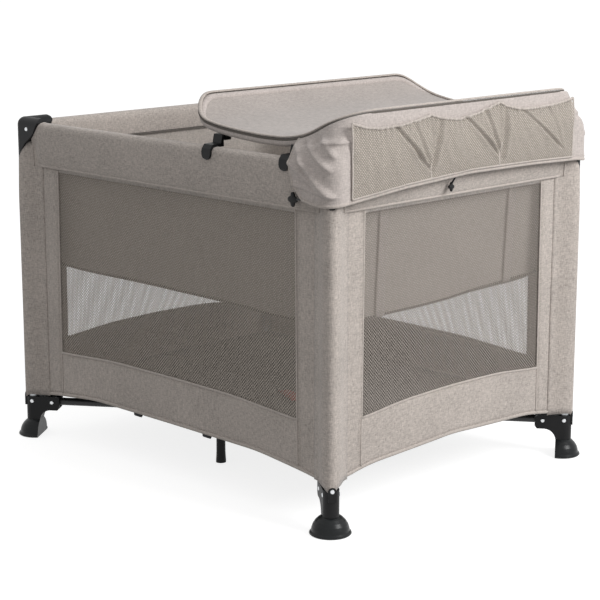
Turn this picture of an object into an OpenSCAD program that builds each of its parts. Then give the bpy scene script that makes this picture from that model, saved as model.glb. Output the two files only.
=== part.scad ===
// Folding playpen with a hanging bassinet and a clip-on changer.
// Millimetres, +Z up, origin on the floor under the middle of the pen.
// X runs along the long sides, Y along the short sides; the changer sits at +X.

/* [Frame] */
// Distance between post centres along the long side
post_pitch_x = 986; // [900:1:1150]
// Distance between post centres along the short side
post_pitch_y = 762; // [700:1:900]
// Height of the top rail tube's axis above the floor
rail_z = 730; // [690:1:790]
// Outer diameter of the corner posts
post_dia = 25.4; // [22:0.1:27]
// Outer diameter of the top rail tubes
rail_dia = 20; // [18:0.5:21]
// Wall thickness of every steel tube
tube_wall = 1.4; // [1:0.1:2]
// Distance from a post's axis to the pivot of a rail half
rail_pivot = 27; // [27:0.5:31]
// Distance from the middle of a rail to each pivot in its latch
latch_pivot = 47; // [45:0.5:52]
// Distance that the rails stand inward from the post axes
rail_inset = 4; // [2:0.5:5]

/* [Base] */
// Height of the base tubes' axis above the floor
base_z = 81; // [76:1:88]
// Outer diameter of the base tubes
base_dia = 18; // [16:0.5:19]
// Distance from a post's axis to the base tube's pivot
foot_pivot = 48; // [45:0.5:50]
// Outer diameter of the moulded foot
foot_dia = 86; // [76:1:92]
// Height of the moulded foot
foot_h = 38; // [32:1:42]
// Thickness of the foot bracket across its arm
bracket_w = 34; // [32:1:38]
// Distance of each centre leg from the middle of the pen
leg_reach = 218; // [180:1:240]
// Sideways offset that lets the two centre legs nest when folded
leg_offset = 13; // [13:0.5:14]
// Diameter of a centre leg at its foot
leg_dia = 23; // [18:0.5:24]

/* [Fabric] */
// Distance that the side walls stand inward from the post axes
wall_inset = 9; // [8:0.5:10]
// Thickness of the padded fabric walls
wall_t = 3; // [2:0.5:4]
// Width of the fabric between a post axis and the mesh window, long side
window_margin_x = 110; // [90:1:130]
// Width of the fabric between a post axis and the mesh window, short side
window_margin_y = 102; // [85:1:120]
// Height of the window's lower edge at its ends
window_low = 217; // [190:1:240]
// Height of the window's upper edge
window_high = 637; // [600:1:640]
// Height of the lower hem at the posts
hem_low = 103; // [98:1:108]
// Rise of the lower hem towards the middle of a side
hem_rise = 23; // [15:1:26]
// Height of the lower edge of the rail cover
cover_low = 647; // [643:1:655]
// Height of the pen floor's underside
floor_z = 127; // [126:1:140]

/* [Bassinet] */
// Height of the bassinet's underside
bassinet_z = 400; // [360:1:450]
// Half length of the bassinet's floor
bassinet_x = 420; // [400:1:425]
// Half width of the bassinet's floor
bassinet_y = 310; // [295:1:312]
// Outward slope of the bassinet's walls over their height
bassinet_flare = 25; // [10:1:28]
// Thickness of the folding mattress
mattress_t = 25; // [15:1:35]

/* [Changer] */
// Inner edge of the changer, measured from the middle of the pen
changer_x0 = 40; // [20:1:80]
// Outer edge of the changer
changer_x1 = 512; // [508:1:513]
// Half length of the changer across the pen
changer_y = 360; // [330:1:360]
// Height of the changer's hollow above the axis of the top rails
changer_lift = 49; // [48:1:70]
// Thickness of the padded changer
changer_t = 13; // [8:1:14]
// Radius of the changer's inner corners
changer_r = 68; // [50:1:80]
// Height of the changer's skirt
skirt_h = 158; // [120:1:162]

/* [Hidden] */
$fn = 48;
gap = 0.3;            // clearance between pieces that move on each other
fit = 0.05;           // radial clearance of a pin in its hole
pin_r = 3;            // radius of every pivot pin
head_r = 4.6;         // radius of a rivet head
head_t = 1.6;         // height of a rivet head
end_lap = 9;          // tube end beyond its pivot
far = 2 * (post_pitch_x + rail_z);    // reach of the blocks that only cut
post_x = post_pitch_x / 2;
post_y = post_pitch_y / 2;
post_r = post_dia / 2;
rail_r = rail_dia / 2;
base_r = base_dia / 2;
fold = rail_pivot + latch_pivot;      // half pitch of the posts when folded
reach_x = post_x - fold;              // pivot to pivot length of a long rail half
reach_y = post_y - fold;              // pivot to pivot length of a short rail half
base_len = sqrt(reach_x * reach_x + reach_y * reach_y);
base_dir = atan2(reach_y, reach_x);   // direction of a base tube in plan
hub_x = fold - foot_pivot * cos(base_dir);
hub_y = fold - foot_pivot * sin(base_dir);
leg_pivot = 40;                       // centre leg pivot from the middle of the hub

CORNERS = ["front_left", "front_right", "back_right", "back_left"];
SX = [-1, 1, 1, -1];
SY = [-1, -1, 1, 1];
SIDES = ["front", "right", "back", "left"];
BASE_NODES = ["hub", "hub_pins", "centre_leg_front", "centre_leg_back"];
SOFT_NODES = ["pen_floor", "bassinet", "mattress"];
CHANGER_NODES = ["changer_frame", "changer_tray", "changer_skirt",
                 "changer_pockets", "changer_hooks"];
PER_CORNER = ["post_tube_", "foot_bracket_", "foot_", "corner_housing_", "corner_rivets_",
              "long_rail_", "short_rail_", "base_tube_"];
PER_SIDE = ["latch_", "latch_button_", "wall_", "mesh_"];

black = "#2a2a2b";
steel = "#8d8f92";
taupe = "#9b918a";
mesh_grey = "#8f8983";
dark_floor = "#5d5854";

// ---------- placing ----------

// Puts a child at a corner, its +X and +Y pointing into the pen
module corner(c)
    translate([SX[c] * post_x, SY[c] * post_y, 0])
        mirror([SX[c] > 0 ? 1 : 0, 0, 0]) mirror([0, SY[c] > 0 ? 1 : 0, 0]) children();

// Turns a child that lies along +X so that it lies along a side of the pen.
// Its origin is the middle of the side, its -Y points out of the pen.
module side(s)
    rotate([0, 0, s * 90]) translate([0, -(s % 2 == 0 ? post_y : post_x), 0]) children();

// Draws a 2-D side view, its y upwards, as a plate of the given span across y
module plate(y0, y1)
    translate([0, y1, 0]) rotate([90, 0, 0]) linear_extrude(height = y1 - y0) children();

// A pin along Y through the given span
module pin_y(x, z, y0, y1, r = pin_r)
    translate([x, y1, z]) rotate([90, 0, 0]) cylinder(r = r, h = y1 - y0);

// A rivet along Y: a shank with a low domed head on each end
module rivet_y(x, z, y0, y1) {
    pin_y(x, z, y0, y1);
    for (e = [[y0, 90], [y1, -90]])
        translate([x, e[0], z]) rotate([e[1], 0, 0]) rivet_head();
}

module rivet_head()
    rotate_extrude() polygon([[0, 0], [head_r, 0], [head_r * 0.8, head_t * 0.75], [0, head_t]]);

// A tube along +X with a pivot hole near each end
module pivot_tube(r, x0, x1, holes)
    difference() {
        translate([x0, 0, 0]) rotate([0, 90, 0]) cylinder(r = r, h = x1 - x0);
        translate([x0 - 1, 0, 0]) rotate([0, 90, 0]) cylinder(r = r - tube_wall, h = x1 - x0 + 2);
        for (x = holes) pin_y(x, 0, -r - 1, r + 1, pin_r + fit);
    }

// A rectangle with round corners, in plan
module round_rect(x, y, r) {
    for (sx = [-1, 1]) for (sy = [-1, 1]) translate([sx * (x - r), sy * (y - r)]) circle(r = r);
    square([2 * x - 2 * r, 2 * y], center = true);
    square([2 * x, 2 * y - 2 * r], center = true);
}

// ---------- corner posts ----------

housing_arm = 66;                     // reach of a housing arm from the post axis
housing_low = rail_z - 74;            // tip of the housing's shield
housing_r = post_r + 4.3;             // outer face of the housing, from the post axis
cheek_in = rail_inset + rail_r + 5;   // inner face of a housing arm
housing_c = (cheek_in - housing_r) / 2;    // middle of an arm, inward of the post axis
housing_w = (cheek_in + housing_r) / 2;    // half width of an arm and radius of its top
housing_z = rail_z + 8;               // centre of the round top
housing_top = housing_z + housing_w;
swing_r = sqrt(end_lap * end_lap + rail_r * rail_r);  // sweep of a rail's end
post_top = rail_z - swing_r - 2.5;
bracket_top = base_z + 13;

module post_tube(c)
    color(steel) corner(c) difference() {
        translate([0, 0, foot_h + 1]) cylinder(r = post_r, h = post_top - foot_h - 1);
        translate([0, 0, foot_h]) cylinder(r = post_r - tube_wall, h = post_top);
    }

// Side view of the housing: round top, shield that tapers to a tip at the outer corner
module housing_outline(grow = 0)
    polygon([[-housing_r - 1, housing_low - grow], [-8, housing_low - grow], [-3 + grow, housing_low + 9],
             [7 + grow, housing_low + 26], [20, rail_z - 33 - grow], [46, rail_z - 14 - grow],
             [53 + grow, rail_z - 6], [61 + grow, housing_z], [housing_arm + grow, housing_z + 8],
             [housing_arm - 1 + grow, housing_z + 14], [housing_arm - 6, housing_top + 1],
             [-housing_r - 1, housing_top + 1]]);

// A bar along +X with a round top: the outside of an arm
module round_top_bar() {
    translate([housing_c, housing_c, housing_z]) rotate([0, 90, 0]) cylinder(r = housing_w, h = housing_arm);
    translate([housing_c, -housing_r, housing_low]) cube([housing_arm, 2 * housing_w, housing_z - housing_low]);
}

// Swing slot of a rail half, open below and at the arm's end
module rail_slot() {
    translate([post_r + 0.3, rail_inset - rail_r - 0.5, rail_z - swing_r - 0.8])
        cube([housing_arm, rail_dia + 1, 2 * swing_r + 1]);
    translate([rail_pivot - rail_r - 0.4, rail_inset - rail_r - 0.5, housing_low - 10])
        cube([housing_arm, rail_dia + 1, rail_z - housing_low]);
    pin_y(rail_pivot, rail_z, -housing_r - 1, cheek_in + 1, pin_r + fit);
}

// Outside of the housing: a column over the post and an arm over each rail
module housing_form(grow = 0) {
    intersection() {
        union() {
            translate([housing_c, housing_c, housing_low - 1])
                cylinder(r = housing_w, h = housing_z - housing_low + 1);
            translate([housing_c, housing_c, housing_z]) sphere(r = housing_w);
        }
        plate(-housing_r - 1, cheek_in + 1) housing_outline(grow);
        mirror([1, -1, 0]) plate(-housing_r - 1, cheek_in + 1) housing_outline(grow);
    }
    for (m = [0, 1]) mirror([m, -m, 0]) intersection() {
        round_top_bar();
        plate(-housing_r - 1, cheek_in + 1) housing_outline(grow);
    }
}

module corner_housing(c)
    color(black) corner(c) difference() {
        housing_form();
        translate([0, 0, housing_low - 1]) cylinder(r = post_r + 0.1, h = post_top - housing_low + 1);
        for (m = [0, 1]) mirror([m, -m, 0]) rail_slot();
    }

// Side view of a foot bracket: a leg, an arm to the base tube and an arch between
arch_r = 27;
bracket_in = 18;                      // inner face of the bracket's leg
tab_r = 8.5;                          // round outer tab that clamps the fabric
tab_t = 3;
tab_z = base_z + 13;
module bracket_outline()
    difference() {
        polygon([[0, foot_h], [0, bracket_top], [foot_pivot + 12, bracket_top],
                 [foot_pivot + 18, bracket_top - 5], [foot_pivot + 18, base_z - 12],
                 [foot_pivot + 13, base_z - 19], [bracket_in + arch_r, base_z - 19],
                 [bracket_in + arch_r, foot_h], [bracket_in, foot_h]]);
        translate([bracket_in + arch_r, base_z - 19 - arch_r]) circle(r = arch_r);
    }

module foot_bracket(c)
    color(black) corner(c) rotate([0, 0, base_dir]) difference() {
        union() {
            plate(-bracket_w / 2, bracket_w / 2) bracket_outline();
            translate([0, 0, foot_h]) cylinder(r = bracket_w / 2, h = bracket_top - foot_h);
            translate([0, 0, foot_h - 14]) cylinder(r = 10, h = 15);
            difference() {
                union() {
                    translate([-sleeve_out - gap - tab_t, 0, tab_z]) rotate([0, 90, 0]) cylinder(r = tab_r, h = 8);
                    translate([-sleeve_out - gap - tab_t, -tab_r, tab_z - 22]) cube([8, 2 * tab_r, 22]);
                }
                translate([0, 0, bracket_top]) cylinder(r = sleeve_out + gap, h = 30);
            }
        }
        translate([0, 0, foot_h + 1]) cylinder(r = post_r + 0.1, h = bracket_top);
        translate([foot_pivot - 14.8, -base_r - 0.6, base_z - 14.8])
            cube([50, base_dia + 1.2, 50]);
        pin_y(foot_pivot, base_z, -bracket_w, bracket_w, pin_r + fit);
    }

// Half-dome foot: round on the outside, flat towards the pen
foot_shift = 5;                       // dome axis inward of the post axis
foot_flat = 18;                       // flat inner side, from the post axis
module foot(c)
    color(black) corner(c) rotate([0, 0, base_dir]) difference() {
        intersection() {
            translate([foot_shift, 0, 0]) rotate_extrude($fn = 64) polygon([[0, 0],
                [foot_dia / 2 - 2, 0], [foot_dia / 2, 2], [foot_dia / 2 - 1, 5], [foot_dia / 2 - 4, 8],
                [foot_dia / 2 - 5, 14], [foot_dia / 2 - 7.5, 21], [foot_dia / 2 - 12, 28],
                [foot_dia / 2 - 18, foot_h - 4], [foot_dia / 2 - 24, foot_h], [0, foot_h]]);
            translate([-foot_dia, -foot_dia, -1]) cube([foot_dia + foot_flat, 2 * foot_dia, foot_h + 2]);
        }
        translate([0, 0, foot_h - 15]) cylinder(r = 10.1, h = 16);
    }

module corner_rivets(c)
    color(steel) corner(c) {
        rivet_y(rail_pivot, rail_z, -housing_r, cheek_in);
        mirror([1, -1, 0]) rivet_y(rail_pivot, rail_z, -housing_r, cheek_in);
        rotate([0, 0, base_dir]) {
            rivet_y(foot_pivot, base_z, -bracket_w / 2, bracket_w / 2);
            for (e = [-1, 1]) translate([0, e * bracket_w / 2, base_z + 2])
                rotate([-e * 90, 0, 0]) rivet_head();
            translate([-sleeve_out - gap - tab_t, 0, tab_z]) rotate([0, -90, 0]) rivet_head();
        }
    }

// ---------- top rails ----------

module rail_half(reach)
    translate([0, rail_inset, rail_z])
        pivot_tube(rail_r, rail_pivot - end_lap, rail_pivot + reach + end_lap,
                   [rail_pivot, rail_pivot + reach]);

module long_rail(c) color(steel) corner(c) rail_half(reach_x);

module short_rail(c) color(steel) corner(c) mirror([1, -1, 0]) rail_half(reach_y);

latch_half = latch_pivot + 14;        // half length of a latch
latch_w = rail_r + 2.4;               // half thickness of a latch
latch_low = rail_z - swing_r - 8;
latch_core = latch_pivot - swing_r - 1.5;  // half length of the solid middle
button_x = 10;
button_y = 6;
button_travel = 4;

// Latch casing with its two rivets, open above where the rails swing up
module latch(s)
    color(black) side(s) translate([0, rail_inset, 0]) {
        difference() {
            plate(-latch_w, latch_w) polygon([[-latch_half, rail_z - 8], [-latch_half + 8, latch_low],
                [latch_half - 8, latch_low], [latch_half, rail_z - 8], [latch_half, rail_z + 1],
                [latch_half - 6, rail_z + 6], [-latch_half + 6, rail_z + 6], [-latch_half, rail_z + 1]]);
            for (e = [-1, 1]) {
                translate([e * (latch_core + 50), 0, latch_low + 5 + 50])
                    cube([100, rail_dia + 0.8, 100], center = true);
                pin_y(e * latch_pivot, rail_z, -latch_w - 1, latch_w + 1, pin_r + fit);
            }
            // pocket of the release button, closed above
            translate([-button_x - gap, -button_y - gap, latch_low - 1])
                cube([2 * button_x + 2 * gap, 2 * button_y + 2 * gap, 21]);
        }
        for (e = [-1, 1]) pin_y(e * latch_pivot, rail_z, -latch_w, latch_w);
    }

module latch_button(s)
    color("#8c2b25") side(s) translate([0, rail_inset, latch_low - 5]) {
        translate([-button_x, -button_y, 0]) cube([2 * button_x, 2 * button_y, 20]);
    }

// ---------- base ----------

module base_tube(c)
    color(black) corner(c) rotate([0, 0, base_dir]) translate([0, 0, base_z])
        pivot_tube(base_r, foot_pivot - end_lap, foot_pivot + base_len + end_lap,
                   [foot_pivot, foot_pivot + base_len]);

hub_half_x = fold - rail_inset - rail_r - 10;
hub_half_y = fold - rail_inset - rail_r - 4;
hub_low = base_z - base_r;
hub_plate = base_z + 18;              // underside of the hub's top plate
hub_swing = sqrt(end_lap * end_lap + base_r * base_r);
leg_r = leg_dia / 2;
arm_r = 8;

// Runs its children once for each base tube, in that tube's own direction
module at_hub_tubes()
    for (sx = [-1, 1]) for (sy = [-1, 1])
        translate([sx * hub_x, sy * hub_y, 0])
            rotate([0, 0, atan2(sy * reach_y, sx * reach_x)]) children();

// Runs its children once for each centre leg, +X pointing out along the arm
module at_hub_legs()
    for (s = [-1, 1]) translate([s * leg_offset, s * leg_pivot, 0]) rotate([0, 0, s * 90]) children();

// A pair of cheeks that carry one pin
module cheeks(half, x0, x1, t)
    for (e = [-1, 1]) translate([x0, e * (half + t / 2) - t / 2, hub_low + 2])
        cube([x1 - x0, t, hub_plate - hub_low]);

module hub()
    color(black) difference() {
        union() {
            translate([0, 0, hub_plate]) linear_extrude(height = 5) round_rect(hub_half_x, hub_half_y, 16);
            translate([0, 0, hub_plate]) rotate_extrude() polygon([[0, 0], [34, 0], [34, 5], [30, 9],
                [28, floor_z - gap - hub_plate], [0, floor_z - gap - hub_plate]]);
            at_hub_tubes() cheeks(base_r + 0.5, -6, 6, 2);
            at_hub_legs() cheeks(arm_r + 0.5, -6, 6, 2);
            translate([0, 0, hub_low + 2]) linear_extrude(height = hub_plate - hub_low) round_rect(15, 22, 5);
        }
        at_hub_tubes() pin_y(0, base_z, -base_r - 4, base_r + 4, pin_r + fit);
        at_hub_legs() pin_y(0, base_z, -arm_r - 4, arm_r + 4, pin_r + fit);
        // room for the tubes and their swinging ends
        at_hub_tubes() translate([-hub_swing - 1, -base_r - 0.5, 0]) cube([60, base_dia + 1, hub_plate]);
        at_hub_legs() translate([-hub_swing - 1, -arm_r - 0.5, 0]) cube([60, 2 * arm_r + 1, hub_plate]);
    }

module hub_pins()
    color(steel) {
        at_hub_tubes() pin_y(0, base_z, -base_r - 2.5, base_r + 2.5);
        at_hub_legs() pin_y(0, base_z, -arm_r - 1.6, arm_r + 1.6);
    }

// Arm from the hub, leg block and flared leg in one moulding
module centre_leg(s)
    color(black) translate([s * leg_offset, s * leg_pivot, 0]) rotate([0, 0, s * 90]) {
        out = leg_reach - leg_pivot;
        difference() {
            union() {
                translate([-7, 0, base_z]) rotate([0, 90, 0]) cylinder(r = arm_r, h = out + 7);
                translate([out, 0, 0]) rotate_extrude() polygon([[0, 0], [leg_r, 0], [leg_r, 3],
                    [leg_r - 1.2, 24], [leg_r - 1.6, base_z + 6], [leg_r - 5, base_z + 11], [0, base_z + 11]]);
                plate(-6, 6) polygon([[out - 34, base_z - 5], [out, base_z - 5], [out, base_z - 30]]);
            }
            pin_y(0, base_z, -arm_r - 1, arm_r + 1, pin_r + fit);
        }
    }

// ---------- fabric ----------

sleeve_in = post_r + 0.6;
sleeve_out = sleeve_in + wall_t;
cover_out = rail_inset - latch_w - gap - 2.2;  // outer face of the rail cover
cover_in = rail_inset + latch_w + 2.5;         // inner flap of the rail cover
cover_top = rail_z + 15;
arch = [for (i = [-10:10]) i / 10];            // stations along an arched edge

function half_span(s) = s % 2 == 0 ? post_x : post_y;
function margin(s) = s % 2 == 0 ? window_margin_x : window_margin_y;

// One side's fabric seen from outside: corners that end under the housings
module wall_outline(h)
    polygon(concat([for (t = arch) [t * h, hem_low + hem_rise * (1 - t * t)]],
        [[h, housing_low - 1], [h - 22, housing_low - 1], [h - 23, rail_z - 38], [h - 50, rail_z - 18],
         [h - housing_arm - 2, rail_z - 18], [h - housing_arm - 2, cover_low + 6],
         [-h + housing_arm + 2, cover_low + 6], [-h + housing_arm + 2, rail_z - 18],
         [-h + 50, rail_z - 18], [-h + 23, rail_z - 38], [-h + 22, housing_low - 1],
         [-h, housing_low - 1]]));

// Mesh window with its low edge arched like the hem
window_rise = 15;
module window_outline(w)
    polygon(concat([for (t = arch) [t * w, window_low + window_rise * (1 - t * t)]],
        [[w, window_high], [-w, window_high]]));

// Section of the rail cover, out of the pen at -x, drawn in the plane across the side
module cover_section()
    polygon([[wall_inset + wall_t / 2, cover_low], [wall_inset - wall_t / 2 - 2, cover_low],
             [cover_out, rail_z - 32], [cover_out, rail_z + 8], [cover_out + 6, cover_top],
             [cover_in - 5, cover_top], [cover_in + 2, rail_z + 8], [cover_in + 2, rail_z - 40],
             [cover_in, rail_z - 40], [cover_in, rail_z + 7], [cover_in - 6, cover_top - 2.4],
             [cover_out + 7, cover_top - 2.4], [cover_out + 2.2, rail_z + 7],
             [cover_out + 2.2, rail_z - 31], [wall_inset - wall_t / 2, cover_low + 6],
             [wall_inset + wall_t / 2, cover_low + 6]]);

// Fabric of one side: post sleeve, border with its window, and rail cover
module wall(s) {
    h = half_span(s);
    color(taupe) side(s) difference() {
        union() {
            plate(wall_inset - wall_t / 2, wall_inset + wall_t / 2) difference() {
                wall_outline(h);
                window_outline(h - margin(s));
            }
            difference() {
                translate([-h, 0, hem_low]) cylinder(r = sleeve_out, h = rail_z - 40 - hem_low);
                // the housing's shield hangs over the sleeve's outer side
                translate([-h, 0, 0]) housing_form(0.5);
            }
            translate([-h + housing_arm + 2, 0, 0]) rotate([90, 0, 90])
                linear_extrude(height = 2 * (h - housing_arm - 2)) cover_section();
        }
        translate([-h, 0, 0]) cylinder(r = sleeve_in, h = rail_z);
        translate([h, 0, 0]) cylinder(r = sleeve_out + 0.4, h = housing_low + 20);
    }
}

// Mesh panel, sewn to the inside of the border
module mesh(s) {
    w = half_span(s) - margin(s);
    color(mesh_grey) side(s) plate(wall_inset + wall_t / 2 + 0.1, wall_inset + wall_t / 2 + 1.3)
        polygon(concat([for (t = arch) [t * (w + 8), window_low - 8 + window_rise * (1 - t * t)]],
            [[w + 8, window_high + 8], [-w - 8, window_high + 8]]));
}

module pen_floor()
    color(dark_floor) translate([0, 0, floor_z]) difference() {
        x = post_x - wall_inset - wall_t / 2 - gap;
        y = post_y - wall_inset - wall_t / 2 - gap;
        linear_extrude(height = 3) square([2 * x, 2 * y], center = true);
        for (c = [0:3]) corner(c) translate([0, 0, -1]) cylinder(r = sleeve_out + gap, h = 6);
    }

// ---------- bassinet ----------

rim_z = rail_z - 40;                  // height of the bassinet's rim
shell_t = 3;                          // thickness of the bassinet's fabric

// Solid with straight flared sides, from z0 to z1
module flared(x, y, flare, r, z0, z1)
    hull() {
        translate([0, 0, z0]) linear_extrude(height = 0.1) round_rect(x, y, r);
        translate([0, 0, z1 - 0.1]) linear_extrude(height = 0.1) round_rect(x + flare, y + flare, r);
    }

module bassinet()
    color(taupe) difference() {
        union() {
            flared(bassinet_x, bassinet_y, bassinet_flare, 50, bassinet_z, rim_z, $fn = 32);
            // flat rim that zips to the inner flap of the rail covers
            translate([0, 0, rim_z - 3]) linear_extrude(height = 3)
                round_rect(post_x - cover_in - 2 - gap, post_y - cover_in - 2 - gap, 60);
        }
        flared(bassinet_x - shell_t, bassinet_y - shell_t, bassinet_flare, 47,
               bassinet_z + shell_t, rim_z + 1, $fn = 32);
    }

// Folding mattress: four padded boards on one sheet
module mattress() {
    x = bassinet_x - shell_t - 6;
    y = bassinet_y - shell_t - 6;
    panel = 2 * x / 4;
    color(taupe) translate([0, 0, bassinet_z + shell_t + gap]) {
        linear_extrude(height = mattress_t) intersection() {
            round_rect(x, y, 48);
            union() for (i = [0:3]) translate([-x + (i + 0.5) * panel, 0]) round_rect(panel / 2 - 3, y, 14);
        }
        linear_extrude(height = 4) round_rect(x - 12, y - 12, 46);
    }
}

// ---------- changer ----------

changer_mid = (changer_x0 + changer_x1) / 2;
changer_half = (changer_x1 - changer_x0) / 2;
changer_z = rail_z + changer_lift;    // surface of the changer in its hollow
frame_r = 7;                          // radius of the changer's steel tube
frame_in = frame_r + 1;               // tube axis inward of the changer's edge
frame_drop = 6;                       // tube axis below the changer's surface
outer_r = 40;                         // radius of the changer's outer corners
// Side view of the tube frame: inner lip, tight bend, shallow hollow, bend, outer lip
lip_in = 40;                          // slope of the inner lip
hollow_in = 6;                        // slope where the hollow begins
hollow_out = 4;                       // slope where the hollow ends
lip_out = 27;                         // slope of the outer lip
bend_in = 70;
bend_out = 150;
corner_in = changer_r - frame_in;     // bend radius of a corner, in the plane of its lip
corner_out = outer_r - frame_in;
y_line = changer_y - frame_in;
x_in = changer_x0 + frame_in;         // axis of the inner end tube
x_out = changer_x1 - frame_in;
x1 = x_in + corner_in * cos(lip_in);  // where the inner bend begins
x2 = x1 + bend_in * (sin(lip_in) - sin(hollow_in));
x3 = x2 + (x_out - x2) * 0.615;       // where the hollow ends
x4 = x3 + bend_out * (sin(lip_out) - sin(hollow_out));
x5 = x_out - corner_out * cos(lip_out);
hollow_r = (x3 - x2) / (sin(hollow_in) + sin(hollow_out));
x_low = x2 + hollow_r * sin(hollow_in);    // lowest point of the hollow
z_low = changer_z - frame_drop;            // height of the tube's axis there
z2 = z_low + hollow_r * (1 - cos(hollow_in));
z1 = z2 + bend_in * (cos(hollow_in) - cos(lip_in));
z3 = z_low + hollow_r * (1 - cos(hollow_out));
z4 = z3 + bend_out * (cos(hollow_out) - cos(lip_out));
z5 = z4 + (x5 - x4) * tan(lip_out);
z_in = z1 + corner_in * sin(lip_in);       // height of the inner end tube
z_out = z5 + corner_out * sin(lip_out);

// Height of the tube's axis at x
function axis_z(x) =
    x < x1 ? z1 + (x1 - x) * tan(lip_in) :
    x < x2 ? z1 + bend_in * (cos(lip_in) - cos(asin(sin(lip_in) - (x - x1) / bend_in))) :
    x < x3 ? z_low + hollow_r * (1 - cos(asin((x - x_low) / hollow_r))) :
    x < x4 ? z3 + bend_out * (cos(hollow_out) - cos(asin(sin(hollow_out) + (x - x3) / bend_out))) :
    z4 + (x - x4) * tan(lip_out);
function surface_z(x) = axis_z(x) + frame_drop;
changer_top = surface_z(changer_x0);

// Plan of the changer, drawn in from its edge by d: wide curves inside, small ones outside
module changer_plan(d)
    difference() {
        translate([changer_mid, 0]) round_rect(changer_half - d, changer_y - d, outer_r - d);
        for (m = [0, 1]) mirror([0, m]) translate([changer_x0 + d, -changer_y + d]) difference() {
            translate([-1, -1]) square(changer_r - d + 1);
            translate([changer_r - d, changer_r - d]) circle(r = changer_r - d);
        }
    }

module changer_tray() {
    steps = [for (i = [0:24]) changer_x0 + 2 * changer_half * i / 24];
    color(taupe) intersection() {
        translate([0, changer_y, 0]) rotate([90, 0, 0]) linear_extrude(height = 2 * changer_y)
            polygon(concat([for (x = steps) [x, surface_z(x)]],
                           [for (i = [len(steps) - 1:-1:0]) [steps[i], surface_z(steps[i]) - changer_t]]));
        linear_extrude(height = far) changer_plan(frame_in + frame_r + gap);
    }
}

// Bent tube in the XY plane about the origin, cut back at both ends by half a weld's root
weld_root = 1;
weld_r = frame_r + 0.3;               // weld bead between two lengths of the tube
module bend(r, start, angle) {
    cut = weld_root / 2 / r * 180 / PI;
    rotate([0, 0, start + cut]) rotate_extrude(angle = angle - 2 * cut)
        translate([r, 0]) circle(r = frame_r);
}

module changer_frame()
    color(black) {
        for (m = [0, 1]) mirror([0, m, 0]) translate([0, -y_line, 0]) {
            translate([x1, corner_in, z1]) rotate([0, 180 + lip_in, 0]) bend(corner_in, -90, 90);
            translate([x1 + bend_in * sin(lip_in), 0, z1 + bend_in * cos(lip_in)]) rotate([90, 0, 0])
                bend(bend_in, -90 - lip_in, lip_in - hollow_in);
            translate([x_low, 0, z_low + hollow_r]) rotate([90, 0, 0])
                bend(hollow_r, -90 - hollow_in, hollow_in + hollow_out);
            translate([x3 - bend_out * sin(hollow_out), 0, z3 + bend_out * cos(hollow_out)]) rotate([90, 0, 0])
                bend(bend_out, -90 + hollow_out, lip_out - hollow_out);
            translate([x4, 0, z4]) rotate([0, 90 - lip_out, 0]) translate([0, 0, weld_root / 2])
                cylinder(r = frame_r, h = (x5 - x4) / cos(lip_out) - weld_root);
            translate([x5, corner_out, z5]) rotate([0, -lip_out, 0]) bend(corner_out, -90, 90);
            for (p = [[x_in, corner_in, z_in], [x1, 0, z1], [x2, 0, z2], [x3, 0, z3], [x4, 0, z4],
                      [x5, 0, z5], [x_out, corner_out, z_out]])
                translate(p) sphere(r = weld_r);
        }
        translate([x_in, 0, z_in]) rotate([90, 0, 0])
            cylinder(r = frame_r, h = 2 * (y_line - corner_in) - weld_root, center = true);
        translate([x_out, 0, z_out]) rotate([90, 0, 0])
            cylinder(r = frame_r, h = 2 * (y_line - corner_out) - weld_root, center = true);
    }

skirt_t = 2.5;
skirt_x = post_x + housing_r + 4.8;   // inner face of the skirt's outer panel
skirt_y = post_y + housing_r + 2.5;   // inner face of the skirt's end panels
skirt_start = post_x - 95;            // where the end panels begin
skirt_top = changer_top - 8;
skirt_low = skirt_top - skirt_h;
skirt_r = 22;
skirt_w = 200;                        // width of the plan shape that is cut to a U

module changer_skirt()
    color(taupe) translate([0, 0, skirt_low]) linear_extrude(height = skirt_h)
        difference() {
            translate([skirt_start, 0]) intersection() {
                translate([skirt_x + skirt_t - skirt_start - skirt_w, 0]) round_rect(skirt_w, skirt_y + skirt_t, skirt_r);
                translate([0, -far / 2]) square([far / 2, far]);
            }
            translate([skirt_x - skirt_w, 0]) round_rect(skirt_w, skirt_y, skirt_r - skirt_t);
        }

pocket_d = 14;                        // depth of a pocket off the skirt
pocket_h = 110;
pocket_gap = 13;
pocket_w = (2 * (changer_y - 8) - 2 * pocket_gap) / 3;
pocket_t = 2;
module changer_pockets()
    color(mesh_grey) for (i = [-1:1])
        translate([skirt_x + skirt_t + 0.1, i * (pocket_w + pocket_gap) - pocket_w / 2, skirt_low + 12])
            difference() {
                cube([pocket_d, pocket_w, pocket_h]);
                translate([pocket_t, pocket_t, pocket_t])
                    cube([pocket_d - 2 * pocket_t, pocket_w - 2 * pocket_t, pocket_h]);
            }

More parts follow.
